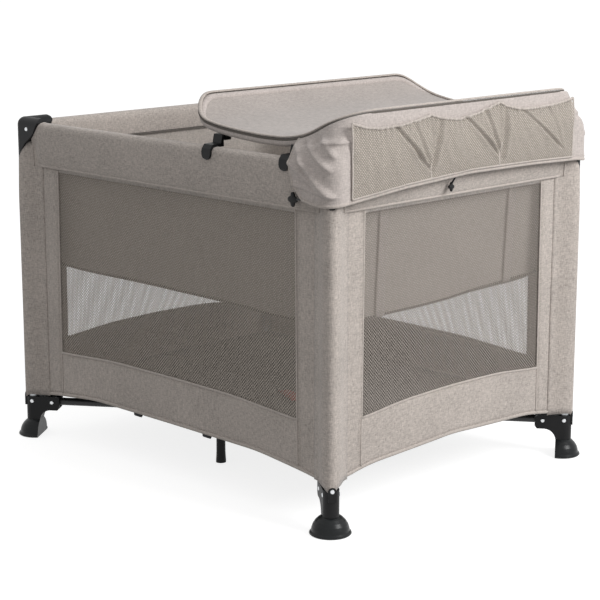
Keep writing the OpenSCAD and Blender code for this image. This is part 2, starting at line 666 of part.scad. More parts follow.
// Hooks that clip over the long rails' covers and carry the changer's frame
hook_w = 26;
hook_t = 5;
hook_low = rail_z - 10;
hook_x = [148, 375];
hook_out = -post_y + cover_out - gap; // face that meets the rail cover
module changer_hooks()
    color(black) for (m = [0, 1]) mirror([0, m, 0]) for (x = hook_x) {
        tube_low = min(axis_z(x - hook_w / 2), axis_z(x + hook_w / 2)) - frame_r - 2 * gap;
        intersection() {
            translate([x - hook_w / 2, 0, 0]) rotate([90, 0, 90]) linear_extrude(height = hook_w)
                polygon([[hook_out, hook_low], [hook_out, rail_z + 8.5], [hook_out + 6, cover_top + gap],
                         [-changer_y + 2, cover_top + gap], [-changer_y + 2, tube_low - 12],
                         [-changer_y + 2 * frame_in + 6, tube_low - 12], [-changer_y + 2 * frame_in + 6, tube_low],
                         [-changer_y - 2, tube_low], [-changer_y - 6, cover_top + gap + 7],
                         [hook_out + 3, cover_top + gap + hook_t + 1], [hook_out - hook_t + 1.5, rail_z + 13],
                         [hook_out - hook_t, rail_z + 6], [hook_out - hook_t, hook_low + 3],
                         [hook_out - hook_t + 2, hook_low]]);
            union() {
                translate([x, 0, hook_low + hook_w / 2]) rotate([90, 0, 0])
                    cylinder(r = hook_w / 2, h = far, center = true);
                translate([x - hook_w / 2, -far / 2, hook_low + hook_w / 2]) cube([hook_w, far, far]);
            }
        }
    }

// ---------- selection ----------

for (c = [0:3]) {
    post_tube(c);
    foot_bracket(c);
    foot(c);
    corner_housing(c);
    corner_rivets(c);
    long_rail(c);
    short_rail(c);
    base_tube(c);
}
for (s = [0:3]) {
    latch(s);
    latch_button(s);
    wall(s);
    mesh(s);
}
hub();
hub_pins();
centre_leg(-1);  // centre_leg_front
centre_leg(1);  // centre_leg_back
pen_floor();
bassinet();
mattress();
changer_frame();
changer_tray();
changer_skirt();
changer_pockets();
changer_hooks();
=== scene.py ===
# Folding playpen with a hanging bassinet and a clip-on changer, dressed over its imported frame.
# Metres, +Z up, origin on the floor under the middle; X along the long sides, changer at +X.
import math
import bmesh
import bpy
import numpy as np
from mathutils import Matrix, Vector, noise


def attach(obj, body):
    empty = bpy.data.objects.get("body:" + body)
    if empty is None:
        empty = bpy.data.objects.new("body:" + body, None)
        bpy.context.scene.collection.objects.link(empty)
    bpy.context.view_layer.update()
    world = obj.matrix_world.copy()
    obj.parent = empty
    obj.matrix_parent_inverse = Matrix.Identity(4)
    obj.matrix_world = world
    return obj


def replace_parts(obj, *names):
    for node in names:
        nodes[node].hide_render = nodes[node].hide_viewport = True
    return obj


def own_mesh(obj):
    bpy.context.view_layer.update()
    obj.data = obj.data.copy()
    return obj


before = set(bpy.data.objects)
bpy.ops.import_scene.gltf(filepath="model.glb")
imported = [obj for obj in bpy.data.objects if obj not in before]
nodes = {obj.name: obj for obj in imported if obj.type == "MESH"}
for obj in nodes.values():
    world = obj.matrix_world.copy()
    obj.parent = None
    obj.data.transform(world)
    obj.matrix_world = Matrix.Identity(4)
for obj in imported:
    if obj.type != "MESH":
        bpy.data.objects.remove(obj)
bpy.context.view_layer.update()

# ---------------------------------------------------------------- camera
# A long lens far back, just above the rim, looks at the corner between the changer and a long side.
# Its aim, turn, height, distance and lens are all set here.
target = Vector((-0.0304, 0.0501, 0.33))
cam_az, cam_el, cam_dist, cam_lens = math.radians(45.33), math.radians(12.43), 4.1125, 105.8
cam_data = bpy.data.cameras.new("camera")
cam_data.lens, cam_data.sensor_width = cam_lens, 36
camera = bpy.data.objects.new("camera", cam_data)
bpy.context.scene.collection.objects.link(camera)
camera.location = target + cam_dist * Vector((math.sin(cam_az) * math.cos(cam_el),
                                              -math.cos(cam_az) * math.cos(cam_el), math.sin(cam_el)))
camera.rotation_euler = (target - camera.location).to_track_quat("-Z", "Y").to_euler()
bpy.context.scene.camera = camera

# ---------------------------------------------------------------- world and lamp
# A white surround lights every side evenly, and one soft lamp from the right gives the shadows.
# The surround is full white only as seen or mirrored, so that the cloth is not washed out.
def linear(hex_colour):
    """An sRGB hex colour as linear red, green, blue and alpha."""
    rgb = [int(hex_colour[i:i + 2], 16) / 255 for i in (1, 3, 5)]
    return [c / 12.92 if c <= 0.04045 else ((c + 0.055) / 1.055) ** 2.4 for c in rgb] + [1]


bpy.context.scene.view_settings.view_transform = "Standard"
world = bpy.data.worlds.new("studio")
bpy.context.scene.world = world
world.use_nodes = True
backdrop = world.node_tree.nodes["Background"]
backdrop.inputs["Color"].default_value = (1, 1, 1, 1)


def add_node(tree, kind, inputs, stops=(), **settings):
    """Adds a shader node with its settings, colour stops, values and links; returns its first output."""
    node = tree.nodes.new("ShaderNode" + kind)
    for key, value in settings.items():
        setattr(node, key, value)
    for _ in stops[2:]:
        node.color_ramp.elements.new(0.5)
    for number, (place, colour) in enumerate(stops):
        node.color_ramp.elements[number].position, node.color_ramp.elements[number].color = place, colour
    for key, value in inputs.items():
        if isinstance(value, bpy.types.NodeSocket):
            tree.links.new(value, node.inputs[key])
        else:
            node.inputs[key].default_value = value
    return node.outputs[0]


def white_when_seen(tree, unseen, shown, socket):
    """Sets a strength to one value as seen or mirrored and to another for the light that it gives."""
    rays = add_node(tree, "LightPath", {}).node.outputs
    seen = rays["Is Camera Ray"]
    for other_ray in ("Is Glossy Ray", "Is Transmission Ray"):
        seen = add_node(tree, "Math", {0: seen, 1: rays[other_ray]}, operation="MAXIMUM")
    tree.links.new(add_node(tree, "MapRange", {"Value": seen, "To Min": unseen, "To Max": shown}), socket)


white_when_seen(world.node_tree, 0.62, 1.0, backdrop.inputs["Strength"])


def area_light(name, location, size, power, look_at=(0, 0, 0.4)):
    data = bpy.data.lights.new(name, "AREA")
    data.size, data.energy = size, power
    lamp = bpy.data.objects.new(name, data)
    bpy.context.scene.collection.objects.link(lamp)
    lamp.location = location
    lamp.rotation_euler = (Vector(look_at) - lamp.location).to_track_quat("-Z", "Y").to_euler()


area_light("key_right", (3.2, 0.6, 2.4), 1.6, 105)

# ---------------------------------------------------------------- posts, rails, base and fittings
# The folding frame: drawn steel posts and rails, black coated base tubes, and moulded nylon housings,
# brackets, latches, hub and feet, held by rivets. Their shapes stay; a finish and eased edges are added.
def new_material(name, **values):
    """A material with its tree, its shader's inputs and the piece's own coordinates; values set the inputs."""
    material = bpy.data.materials.new(name)
    material.use_nodes = True
    tree = material.node_tree
    shader = tree.nodes["Principled BSDF"].inputs
    for key, value in values.items():
        shader[key.replace("_", " ")].default_value = value
    return material, tree, shader, add_node(tree, "TexCoord", {}).node.outputs["Object"]


def shade(colour, factor):
    return [min(1, c * factor) for c in colour[:3]] + [1]


def moulded(name, hex_colour, rough, grain=0.15, grain_scale=900):
    """Injection-moulded nylon or ABS: dark, finely grained, with faint flow marks and rubbed
    high spots. The grain of 1.1 mm is coarser than the mould's, so that it shows."""
    material, tree, shader, place = new_material(name, Specular_IOR_Level=0.2)
    base = linear(hex_colour)
    broad = add_node(tree, "TexNoise", {"Vector": place, "Scale": 35, "Detail": 3, "Roughness": 0.5})
    tree.links.new(add_node(tree, "ValToRGB", {"Fac": broad}, stops=(
        (0.3, shade(base, 0.85)), (0.7, shade(base, 1.2)))), shader["Base Color"])
    worn = add_node(tree, "Math", {0: broad, 1: 0.5}, operation="SUBTRACT")
    worn = add_node(tree, "Math", {0: worn, 1: 0.18}, operation="MULTIPLY")
    tree.links.new(add_node(tree, "Math", {0: worn, 1: rough}, operation="ADD"), shader["Roughness"])
    grains = add_node(tree, "TexNoise", {"Vector": place, "Scale": grain_scale, "Detail": 2, "Roughness": 0.5})
    tree.links.new(add_node(tree, "Bump", {"Height": grains, "Strength": grain, "Distance": 0.0004}), shader["Normal"])
    return material


def metal(name, hex_colour, rough, metallic=1.0):
    """Drawn steel, bare or powder coated, or a turned rivet: fine lines along it and an
    uneven polish. The lines are 0.8 mm apart, coarser than drawn ones, so that they show."""
    material, tree, shader, place = new_material(name, Metallic=metallic)
    base = linear(hex_colour)
    lines = add_node(tree, "Mapping", {"Vector": place, "Scale": (1200, 1200, 30)})
    drawn = add_node(tree, "TexNoise", {"Vector": lines, "Scale": 1, "Detail": 3, "Roughness": 0.6})
    tree.links.new(add_node(tree, "ValToRGB", {"Fac": drawn}, stops=(
        (0.3, shade(base, 0.88)), (0.7, shade(base, 1.1)))), shader["Base Color"])
    polish = add_node(tree, "Math", {0: drawn, 1: 0.15}, operation="MULTIPLY")
    tree.links.new(add_node(tree, "Math", {0: polish, 1: rough}, operation="ADD"), shader["Roughness"])
    tree.links.new(add_node(tree, "Bump", {"Height": drawn, "Strength": 0.08, "Distance": 0.0003}), shader["Normal"])
    return material


plastic = moulded("plastic_black", "#161617", 0.46)
plastic_gloss = moulded("plastic_foot", "#1d1f20", 0.3, grain=0.05)
plastic_red = moulded("plastic_red", "#8f2f28", 0.4)
tube_black = metal("tube_black", "#19191a", 0.38, metallic=0.0)
tube_steel = metal("tube_steel", "#a8aaac", 0.3)
rivet_metal = metal("rivet_metal", "#d4d6d8", 0.22)
corners = ["front_left", "front_right", "back_right", "back_left"]
corner_sign = [(-1, -1), (1, -1), (1, 1), (-1, 1)]
sides_of = ["front", "right", "back", "left"]


def dress(prefix, material, bevel=0.0):
    for name, obj in nodes.items():
        if name == prefix or (name.startswith(prefix) and name[len(prefix):] in corners + sides_of):
            obj.data.materials.clear()
            obj.data.materials.append(material)
            if bevel:
                mod = obj.modifiers.new("edges", "BEVEL")
                mod.width, mod.segments, mod.limit_method, mod.angle_limit = bevel, 2, "ANGLE", math.radians(35)
                mod.harden_normals = True


dress("post_tube_", tube_steel)
dress("foot_bracket_", plastic, 0.0015)
dress("foot_", plastic_gloss)
dress("corner_housing_", plastic, 0.0015)
dress("corner_rivets_", rivet_metal)
dress("long_rail_", tube_steel)
dress("short_rail_", tube_steel)
dress("latch_", plastic, 0.001)
dress("latch_button_", plastic_red, 0.0008)
dress("base_tube_", tube_black)
dress("hub", plastic, 0.001)
dress("hub_pins", rivet_metal)
dress("centre_leg_front", plastic)
dress("centre_leg_back", plastic)
dress("changer_hooks", plastic, 0.001)
dress("changer_frame", tube_black)

# ---------------------------------------------------------------- post sleeves
# A sleeve of melange polyester goes round each post, and its two flaps are sewn to the side panels.
# It ends under the round edge of the corner housing and above the foot bracket.
def woven(name, hex_colour, contrast=0.16, thread=0.0011, sheen=0.25):
    """Melange polyester in plain weave, matt, with crossing threads and flecked yarn.

    Threads 1.1 mm apart and flecks of 2 by 9 mm are coarser than real yarn, so that they show."""
    material, tree, shader, place = new_material(name, Roughness=0.92, Sheen_Weight=sheen, Sheen_Roughness=0.5,
                                                 Specular_IOR_Level=0.25)
    base = linear(hex_colour)
    x, y, z = add_node(tree, "SeparateXYZ", {"Vector": place}).node.outputs
    level = add_node(tree, "Math", {0: x, 1: y}, operation="ADD")
    turns = [add_node(tree, "Math", {0: axis, 1: math.tau / thread}, operation="MULTIPLY") for axis in (level, z)]
    waves = [add_node(tree, "Math", {0: turn}, operation="SINE") for turn in turns]
    weave = add_node(tree, "Math", {0: waves[0], 1: waves[1]}, operation="MULTIPLY")
    yarns = []
    for scale in ((520, 520, 110), (110, 110, 520)):
        stretched = add_node(tree, "Mapping", {"Vector": place, "Scale": scale})
        yarns.append(add_node(tree, "TexNoise", {"Vector": stretched, "Scale": 1, "Detail": 3, "Roughness": 0.6}))
    fleck = add_node(tree, "Math", {0: yarns[0], 1: yarns[1]}, operation="ADD")
    half_fleck = add_node(tree, "Math", {0: fleck, 1: 0.5}, operation="MULTIPLY")
    broad = add_node(tree, "TexNoise", {"Vector": place, "Scale": 9, "Detail": 3, "Roughness": 0.5})
    uneven = add_node(tree, "Math", {0: broad, 1: 0.5}, operation="SUBTRACT")
    faint = add_node(tree, "Math", {0: uneven, 1: 0.14}, operation="MULTIPLY")
    mixed = add_node(tree, "Math", {0: half_fleck, 1: faint}, operation="ADD")
    spread = contrast * 2.2
    tree.links.new(add_node(tree, "ValToRGB", {"Fac": mixed}, stops=(
        (0.34, shade(base, 1 - spread)), (0.5, base), (0.66, shade(base, 1 + spread)))), shader["Base Color"])
    first = add_node(tree, "Bump", {"Height": weave, "Strength": 0.25, "Distance": 0.0003})
    tree.links.new(add_node(tree, "Bump", {"Height": fleck, "Strength": 0.3, "Distance": 0.0008, "Normal": first}),
                   shader["Normal"])
    return material


cloth = woven("cloth_taupe", "#b0a7a0")


def make_object(name, verts, faces, material):
    mesh = bpy.data.meshes.new(name)
    mesh.from_pydata([tuple(map(float, v)) for v in verts], [], [tuple(f) for f in faces])
    mesh.update()
    for polygon in mesh.polygons:
        polygon.use_smooth = True
    mesh.materials.append(material)
    obj = bpy.data.objects.new(name, mesh)
    bpy.context.scene.collection.objects.link(obj)
    return obj


def surface(name, us, vs, point, material, skip=None, closed_u=False):
    """A grid over the stations us by vs, each vertex from point(u, v)."""
    verts = [point(u, v) for u in us for v in vs]
    n = len(vs)
    faces = []
    for i in range(len(us) if closed_u else len(us) - 1):
        for k in range(n - 1):
            j = (i + 1) % len(us)
            if skip and skip((us[i] + us[j]) / 2, (vs[k] + vs[k + 1]) / 2):
                continue
            faces.append((i * n + k, j * n + k, j * n + k + 1, i * n + k + 1))
    obj = make_object(name, verts, faces, material)
    bm = bmesh.new()
    bm.from_mesh(obj.data)
    bmesh.ops.delete(bm, geom=[v for v in bm.verts if not v.link_faces], context="VERTS")
    bmesh.ops.recalc_face_normals(bm, faces=bm.faces)
    bm.to_mesh(obj.data)
    bm.free()
    return obj


def thicken(obj, thickness):
    mod = obj.modifiers.new("thickness", "SOLIDIFY")
    mod.thickness, mod.offset = thickness, 0
    return obj


def lerp_table(x, table):
    """Linear look-up in a list of (x, value) pairs."""
    return float(np.interp(x, [t[0] for t in table], [t[1] for t in table]))


def steps(*stops):
    """Stations through (value, count of cells to the next value) pairs; the last count is ignored."""
    out = []
    for (a, n), (b, _) in zip(stops, stops[1:]):
        out += [a + (b - a) * i / n for i in range(n)]
    return out + [stops[-1][0]]


def wave(x, y=0.0, z=0.0, seed=0.0):
    """Smooth noise from -1 to 1."""
    return noise.noise(Vector((x, y, z + seed)))


post_x, post_y = 0.493, 0.381
wall_v = 0.009                        # wall plane, inward of the post axes
sleeve_r = 0.0163
other = [post_y, post_x, post_y, post_x]


def on_side(s, t, v, z):
    """A point on side s: t along it, v inward of the post axes, z up."""
    h = other[s]
    return [(t, v - h, z), (h - v, t, z), (-t, h - v, z), (v - h, -t, z)][s]


def along(s):
    return Vector(on_side(s, 1, 0, 0)) - Vector(on_side(s, 0, 0, 0))


housing_edge = [(-0.017, 0.656), (-0.008, 0.656), (-0.003, 0.665), (0.007, 0.682), (0.020, 0.697),
                (0.046, 0.716), (0.053, 0.724), (0.061, 0.738), (0.066, 0.746)]


def housing_z(x, y):
    """Lower edge of the corner housing, at x and y from the post axis into the pen."""
    return max(lerp_table(x, housing_edge), lerp_table(y, housing_edge))


sleeve_flap = 0.054
sleeve_turn = math.radians(78)        # where the flaps leave the round of the post
flap_from = Vector((sleeve_r * math.cos(sleeve_turn), -sleeve_r * math.sin(sleeve_turn)))
flap_to = Vector((sleeve_flap, wall_v - 0.0012))


def flap_point(f):
    """From the round of the post at f = 0 in an easy S to the side panel at f = 1."""
    b = flap_from + 0.018 * Vector((math.sin(sleeve_turn), math.cos(sleeve_turn)))
    c = flap_to - Vector((0.018, 0))
    return (1 - f) ** 3 * flap_from + 3 * (1 - f) ** 2 * f * b + 3 * (1 - f) * f * f * c + f ** 3 * flap_to


flap_line = [tuple(flap_point(f)) for f in steps((1, 7), (0, 1))]
sleeve_section = flap_line[:-1] + [(sleeve_r * math.cos(a), sleeve_r * math.sin(a))
                                   for a in steps((-sleeve_turn, 20), (sleeve_turn - 1.5 * math.pi, 1))]
sleeve_section += [(y, x) for x, y in flap_line[-2::-1]]


def flap_v(x):
    """Depth of the sleeve's outer flap at x from the post axis."""
    return lerp_table(x, flap_line[::-1])


def at_corner(c, x, y, z):
    """A point from a corner's own axes, x and y pointing into the pen from the post."""
    sx, sy = corner_sign[c]
    return Vector((sx * (post_x - x), sy * (post_y - y), z))


def sleeve(c):
    def point(f, k):
        x, y = sleeve_section[k]
        swell = 1 + 0.012 * wave(f * 4, 0, 0, c * 7.1) * (len(flap_line) <= k < len(sleeve_section) - len(flap_line))
        corner = max(0, -(x + y) / 0.023)
        # the seam pulls the cloth to a tighter corner, except where it meets the round housing
        swell *= 1 + 0.13 * max(0.0, corner - 0.72) / 0.28 * min(1, (1 - f) * 7)
        low = 0.1005 - 0.010 * corner ** 3
        high = min(0.701, housing_z(x, y) + 0.001)
        return at_corner(c, x * swell, y * swell, low + (high - low) * f)

    obj = surface("sleeve_" + corners[c], steps((0, 40), (1, 1)), list(range(len(sleeve_section))), point, cloth)
    thicken(obj, 0.0012)
    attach(obj, "post_" + corners[c])


for c in range(4):
    sleeve(c)

# ---------------------------------------------------------------- side panels with their mesh windows
# Each side is a polyester panel with a bound lower hem, hung between two sleeves under its rail.
# A knitted mesh window is sewn in behind a folded edge, with two rows of stitches down its sides.
def netting(name, hex_colour, cover, cell, soft):
    """Knitted polyester mesh: staggered holes between dull threads; cover is the share that the threads hide.

    Cells of 7 mm are about twice as coarse as real ones, so that they show."""
    material, tree, shader, place = new_material(name, Roughness=0.9, Specular_IOR_Level=0.2)
    base = linear(hex_colour)
    x, y, z = add_node(tree, "SeparateXYZ", {"Vector": place}).node.outputs
    level = add_node(tree, "Math", {0: x, 1: y}, operation="ADD")
    turns = [add_node(tree, "Math", {0: axis, 1: math.tau / cell}, operation="MULTIPLY") for axis in (level, z)]
    waves = [add_node(tree, "Math", {0: turn}, operation="SINE") for turn in turns]
    holes = add_node(tree, "Math", {0: waves[0], 1: waves[1]}, operation="MULTIPLY")
    uneven = add_node(tree, "TexNoise", {"Vector": place, "Scale": 420, "Detail": 2, "Roughness": 0.5})
    drift = add_node(tree, "Math", {0: uneven, 1: 0.5}, operation="SUBTRACT")
    drift = add_node(tree, "Math", {0: drift, 1: 0.3}, operation="MULTIPLY")
    threads = add_node(tree, "Math", {0: holes, 1: soft}, operation="MULTIPLY")
    threads = add_node(tree, "Math", {0: threads, 1: cover}, operation="ADD")
    tree.links.new(add_node(tree, "Math", {0: threads, 1: drift}, operation="ADD", use_clamp=True), shader["Alpha"])
    # The colour darkens to 0.45 of the base over the holes, as painted shade of the dark space seen through them. It
    # lightens to 1.35 on the threads, and the noise adds uneven tone.
    knit_and_hole_shade = add_node(tree, "Math", {0: holes, 1: 0.32}, operation="MULTIPLY")
    fuzz = add_node(tree, "Math", {0: uneven, 1: 0.9}, operation="MULTIPLY")
    knit_and_hole_shade = add_node(tree, "Math", {0: knit_and_hole_shade, 1: fuzz}, operation="ADD")
    tree.links.new(add_node(tree, "ValToRGB", {"Fac": knit_and_hole_shade}, stops=(
        (0.15, shade(base, 0.45)), (0.45, base), (0.75, shade(base, 1.35)))), shader["Base Color"])
    tree.links.new(add_node(tree, "Bump", {"Height": holes, "Strength": 0.6, "Distance": 0.0008}), shader["Normal"])
    return material


cloth_band = woven("cloth_binding", "#b4aba4", contrast=0.10)
thread_mat = woven("thread", "#c2b9b0", contrast=0.05)
# The ends use the same mesh as the long sides, made darker and more open there: painted shade that holds back the lamp
# on the short ends.
net_side = netting("net_side", "#a89f96", 0.60, cell=0.0072, soft=0.42)
net_end_painted_shade = netting("net_end_painted_shade", "#948c85", 0.52, cell=0.0072, soft=0.40)


def join(name, objects):
    """One object out of several; their materials stay with their faces."""
    mesh = bpy.data.meshes.new(name)
    bm = bmesh.new()
    slots = []
    for obj in objects:
        start = len(bm.faces)
        bm.from_mesh(obj.data)
        bm.faces.ensure_lookup_table()
        for face in bm.faces[start:]:
            material = obj.data.materials[face.material_index]
            if material not in slots:
                slots.append(material)
            face.material_index = slots.index(material)
    bm.to_mesh(mesh)
    bm.free()
    for material in slots:
        mesh.materials.append(material)
    for obj in objects:
        bpy.data.objects.remove(obj)
    merged = bpy.data.objects.new(name, mesh)
    bpy.context.scene.collection.objects.link(merged)
    return merged


def bake(obj):
    """Turns the piece's modifiers into its mesh."""
    graph = bpy.context.evaluated_depsgraph_get()
    mesh = bpy.data.meshes.new_from_object(obj.evaluated_get(graph))
    obj.modifiers.clear()
    obj.data = mesh
    return obj


def tube(name, path, radius, material, closed=False, sides=8, flat=1.0, up=(0, 0, 1)):
    """A round or flattened bar along a path of points; radius may differ from point to point."""
    pts = [Vector(p) for p in path]
    n = len(pts)
    radii = radius if hasattr(radius, "__len__") else [radius] * n
    verts = []
    for i, p in enumerate(pts):
        a = pts[(i - 1) % n] if closed or i else p
        b = pts[(i + 1) % n] if closed or i < n - 1 else p
        t = (b - a).normalized()
        side = t.cross(Vector(up))
        side = side.normalized() if side.length > 1e-4 else t.orthogonal().normalized()
        out = side.cross(t).normalized()
        for k in range(sides):
            ang = math.tau * k / sides
            verts.append(p + radii[i] * (math.cos(ang) * out + math.sin(ang) * side * flat))
    faces = []
    for i in range(n if closed else n - 1):
        j = (i + 1) % n
        for k in range(sides):
            m = (k + 1) % sides
            faces.append((i * sides + k, i * sides + m, j * sides + m, j * sides + k))
    if not closed:
        faces.append(tuple(range(sides))[::-1])
        faces.append(tuple(range((n - 1) * sides, n * sides)))
    return make_object(name, verts, faces, material)


def stitches(name, path, material, pitch=0.0058, length=0.0038, radius=0.00045):
    """A row of sewn stitches: short thread dashes laid along a path."""
    pts = [Vector(p) for p in path]
    dashes, carry = [], 0.0
    for a, b in zip(pts, pts[1:]):
        seg = (b - a).length
        if seg < 1e-6:
            continue
        t = (b - a) / seg
        while carry + length <= seg:
            dashes.append((a + t * carry, a + t * (carry + length)))
            carry += pitch
        carry = max(0.0, carry - seg)
    verts, faces = [], []
    for a, b in dashes:
        t = (b - a).normalized()
        s = t.orthogonal().normalized()
        o = t.cross(s)
        start = len(verts)
        mid = (a + b) / 2
        for centre, r in ((a, 0.4), (mid, 1.0), (b, 0.4)):
            for k in range(5):
                ang = math.tau * k / 5
                verts.append(centre + radius * r * (math.cos(ang) * s + math.sin(ang) * o))
        for ring in (0, 5):
            for k in range(5):
                m = (k + 1) % 5
                faces.append((start + ring + k, start + ring + m, start + ring + 5 + m, start + ring + 5 + k))
    return make_object(name, verts, faces, material)


window_high = 0.637
cover_low = 0.646
half = [post_x, post_y, post_x, post_y]
window_w = [0.383, 0.279, 0.383, 0.279]
hem_long = [(0, .124), (.270, .123), (.412, .108), (.474, .098), (.50, .097)]
hem_short = [(0, .128), (.077, .124), (.263, .117), (.340, .103), (.40, .098)]
low_long = [(0, .230), (.20, .2285), (.383, .216), (.5, .216)]
low_short = [(0, .237), (.15, .234), (.279, .221), (.4, .221)]


def smooth_table(table, x):
    """Smoothed look-up: the average of nearby linear values."""
    x = abs(x)
    return sum(lerp_table(abs(x + d), table) for d in (-.03, -.015, 0, .015, .03)) / 5


def hem(s, t):
    return smooth_table(hem_long if s % 2 == 0 else hem_short, t)


def window_low(s, t):
    return smooth_table(low_long if s % 2 == 0 else low_short, t)


def window_half(s, z):
    return window_w[s] + 0.004 * (window_high - z) / 0.42


def ride_side(obj, s):
    """The fabric of side s moves with the post at its own end."""
    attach(obj, "post_" + corners[s])
    tuple(along(s))
    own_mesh(obj)


def panel_v(s, t, z):
    """Depth of the taut fabric: a faint belly and long soft ripples, flat near the seams."""
    edge = min(1, (half[s] - abs(t)) / 0.05, max(0, (z - 0.10) / 0.05 + 0.2), max(0, (cover_low - z) / 0.05 + 0.2))
    ripple = 0.0011 * wave(t * 5, z * 2.2, s * 3.7) + 0.0007 * wave(t * 24, z * 5, s * 9.1)
    return wall_v + ripple * max(0, min(1, edge))


def side_panel(s):
    h, w = half[s], window_w[s]
    end = h - 0.031
    ts = steps((-end, 8), (-w, 44), (w, 8), (end, 1))
    zs = steps((0, 8), (1, 30), (2, 2), (3, 1))

    def edge_t(t, z):
        """Moves the window's side columns outwards towards the bottom."""
        return t * window_half(s, z) / w if abs(t) <= w else \
            math.copysign(window_half(s, z) + (abs(t) - w) * (end - window_half(s, z)) / (end - w), t)

    def height(t, k):
        marks = [hem(s, t), window_low(s, t if abs(t) < w else math.copysign(w, t)), window_high, cover_low + 0.012]
        return lerp_table(k, list(zip(range(4), marks)))

    def point(t, k):
        z = height(t, k)
        t = edge_t(t, z)
        return on_side(s, t, panel_v(s, t, z), z)

    obj = surface("panel_" + sides_of[s], ts, zs, point, cloth, skip=lambda t, k: abs(t) < w and 1 < k < 2)
    thicken(obj, 0.0012)

    bits = []
    # bound lower hem, folded double and standing a little proud
    hem_path = [on_side(s, t, wall_v - 0.0006, hem(s, t) + 0.003) for t in steps((-h + 0.012, 90), (h - 0.012, 1))]
    bits.append(tube("hem", hem_path, 0.0040, cloth_band, flat=0.42))
    # narrow folded edge round the window
    ring = [on_side(s, t, wall_v - 0.0012, window_low(s, t) - 0.002) for t in steps((-w - 0.004, 50), (w + 0.004, 1))]
    bits.append(tube("edge", ring, 0.0026, cloth_band, flat=0.45))
    for e in (-1, 1):
        up = [on_side(s, e * (window_half(s, z) + 0.002), wall_v - 0.0012, z)
              for z in steps((hem(s, w) + 0.004, 60), (window_high + 0.008, 1))]
        bits.append(tube("seam", up, 0.0022, cloth_band, flat=0.45, up=tuple(along(s))))
        for shift in (0.0065, 0.0105):
            side_row = [on_side(s, e * (window_half(s, z) + shift), wall_v - 0.0013, z)
                        for z in steps((hem(s, w) + 0.008, 30), (window_high + 0.006, 1))]
            bits.append(stitches("row", side_row, thread_mat))
    bits.append(stitches("row", [on_side(s, t, wall_v - 0.0013, hem(s, t) + 0.0085)
                                 for t in steps((-h + 0.03, 60), (h - 0.03, 1))], thread_mat))
    bits.append(stitches("row", [on_side(s, t, wall_v - 0.0013, window_low(s, t) - 0.0075)
                                 for t in steps((-w, 50), (w, 1))], thread_mat))
    trim = join("panel_trim_" + sides_of[s], bits)
    ride_side(bake(obj), s)
    ride_side(trim, s)
    return obj


def side_net(s):
    w = window_w[s]

    def point(t, k):
        z = lerp_table(k, [(0, window_low(s, t) - 0.006), (1, window_high + 0.006)])
        t = t * (window_half(s, z) + 0.005) / w
        slack = 0.0022 * wave(t * 6, z * 3, s * 5.3) + 0.0012 * wave(t * 22, z * 8, s * 2.9)
        inner = min(1, (window_half(s, z) + 0.005 - abs(t)) / 0.04, k / 0.1, (1 - k) / 0.1)
        return on_side(s, t, wall_v + 0.0014 + max(0, inner) * (0.0025 + slack), z)

    obj = surface("net_" + sides_of[s], steps((-w, 56), (w, 1)), steps((0, 34), (1, 1)), point,
                  (net_side, net_end_painted_shade)[s % 2])
    ride_side(obj, s)
    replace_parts(obj, "mesh_" + sides_of[s])
    window_high - window_low(s, 0.3 * w) + 0.016


for s in range(4):
    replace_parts(side_panel(s), "wall_" + sides_of[s])
    side_net(s)

# ---------------------------------------------------------------- padded covers over the top rails
# Foam-lined polyester wraps over each top rail, piped along its outer hem and open on the inside.
# The ends are bound and sewn down on the sleeves, just under the corner housings.
def smooth_out(obj):
    mod = obj.modifiers.new("smooth", "SUBSURF")
    mod.levels = mod.render_levels = 1
    return obj


def housing_u(z):
    """Reach of the corner housing's shield from the post axis at height z."""
    return lerp_table(z, [(b, a) for a, b in housing_edge])


def cover_end(z):
    """Where a rail cover ends: sewn down just off the post, and higher up along the housing."""
    return max(housing_u(z) + 0.0012, 0.030 + 0.05 * abs(z - 0.672))


# section from the outer hem up over the rail and down the inner flap: (inward depth, height)
cover_section = [(0.0072, 0.6458), (0.0052, 0.6462), (0.0028, 0.6500), (0.0000, 0.6560), (-0.0030, 0.6660),
                 (-0.0060, 0.6790), (-0.0084, 0.6930), (-0.0100, 0.7070), (-0.0112, 0.7200), (-0.0114, 0.7310),
                 (-0.0098, 0.7392), (-0.0058, 0.7440), (0.0010, 0.7464), (0.0080, 0.7460), (0.0145, 0.7430),
                 (0.0185, 0.7370), (0.0196, 0.7280), (0.0190, 0.7130), (0.0182, 0.6990), (0.0178, 0.6905)]


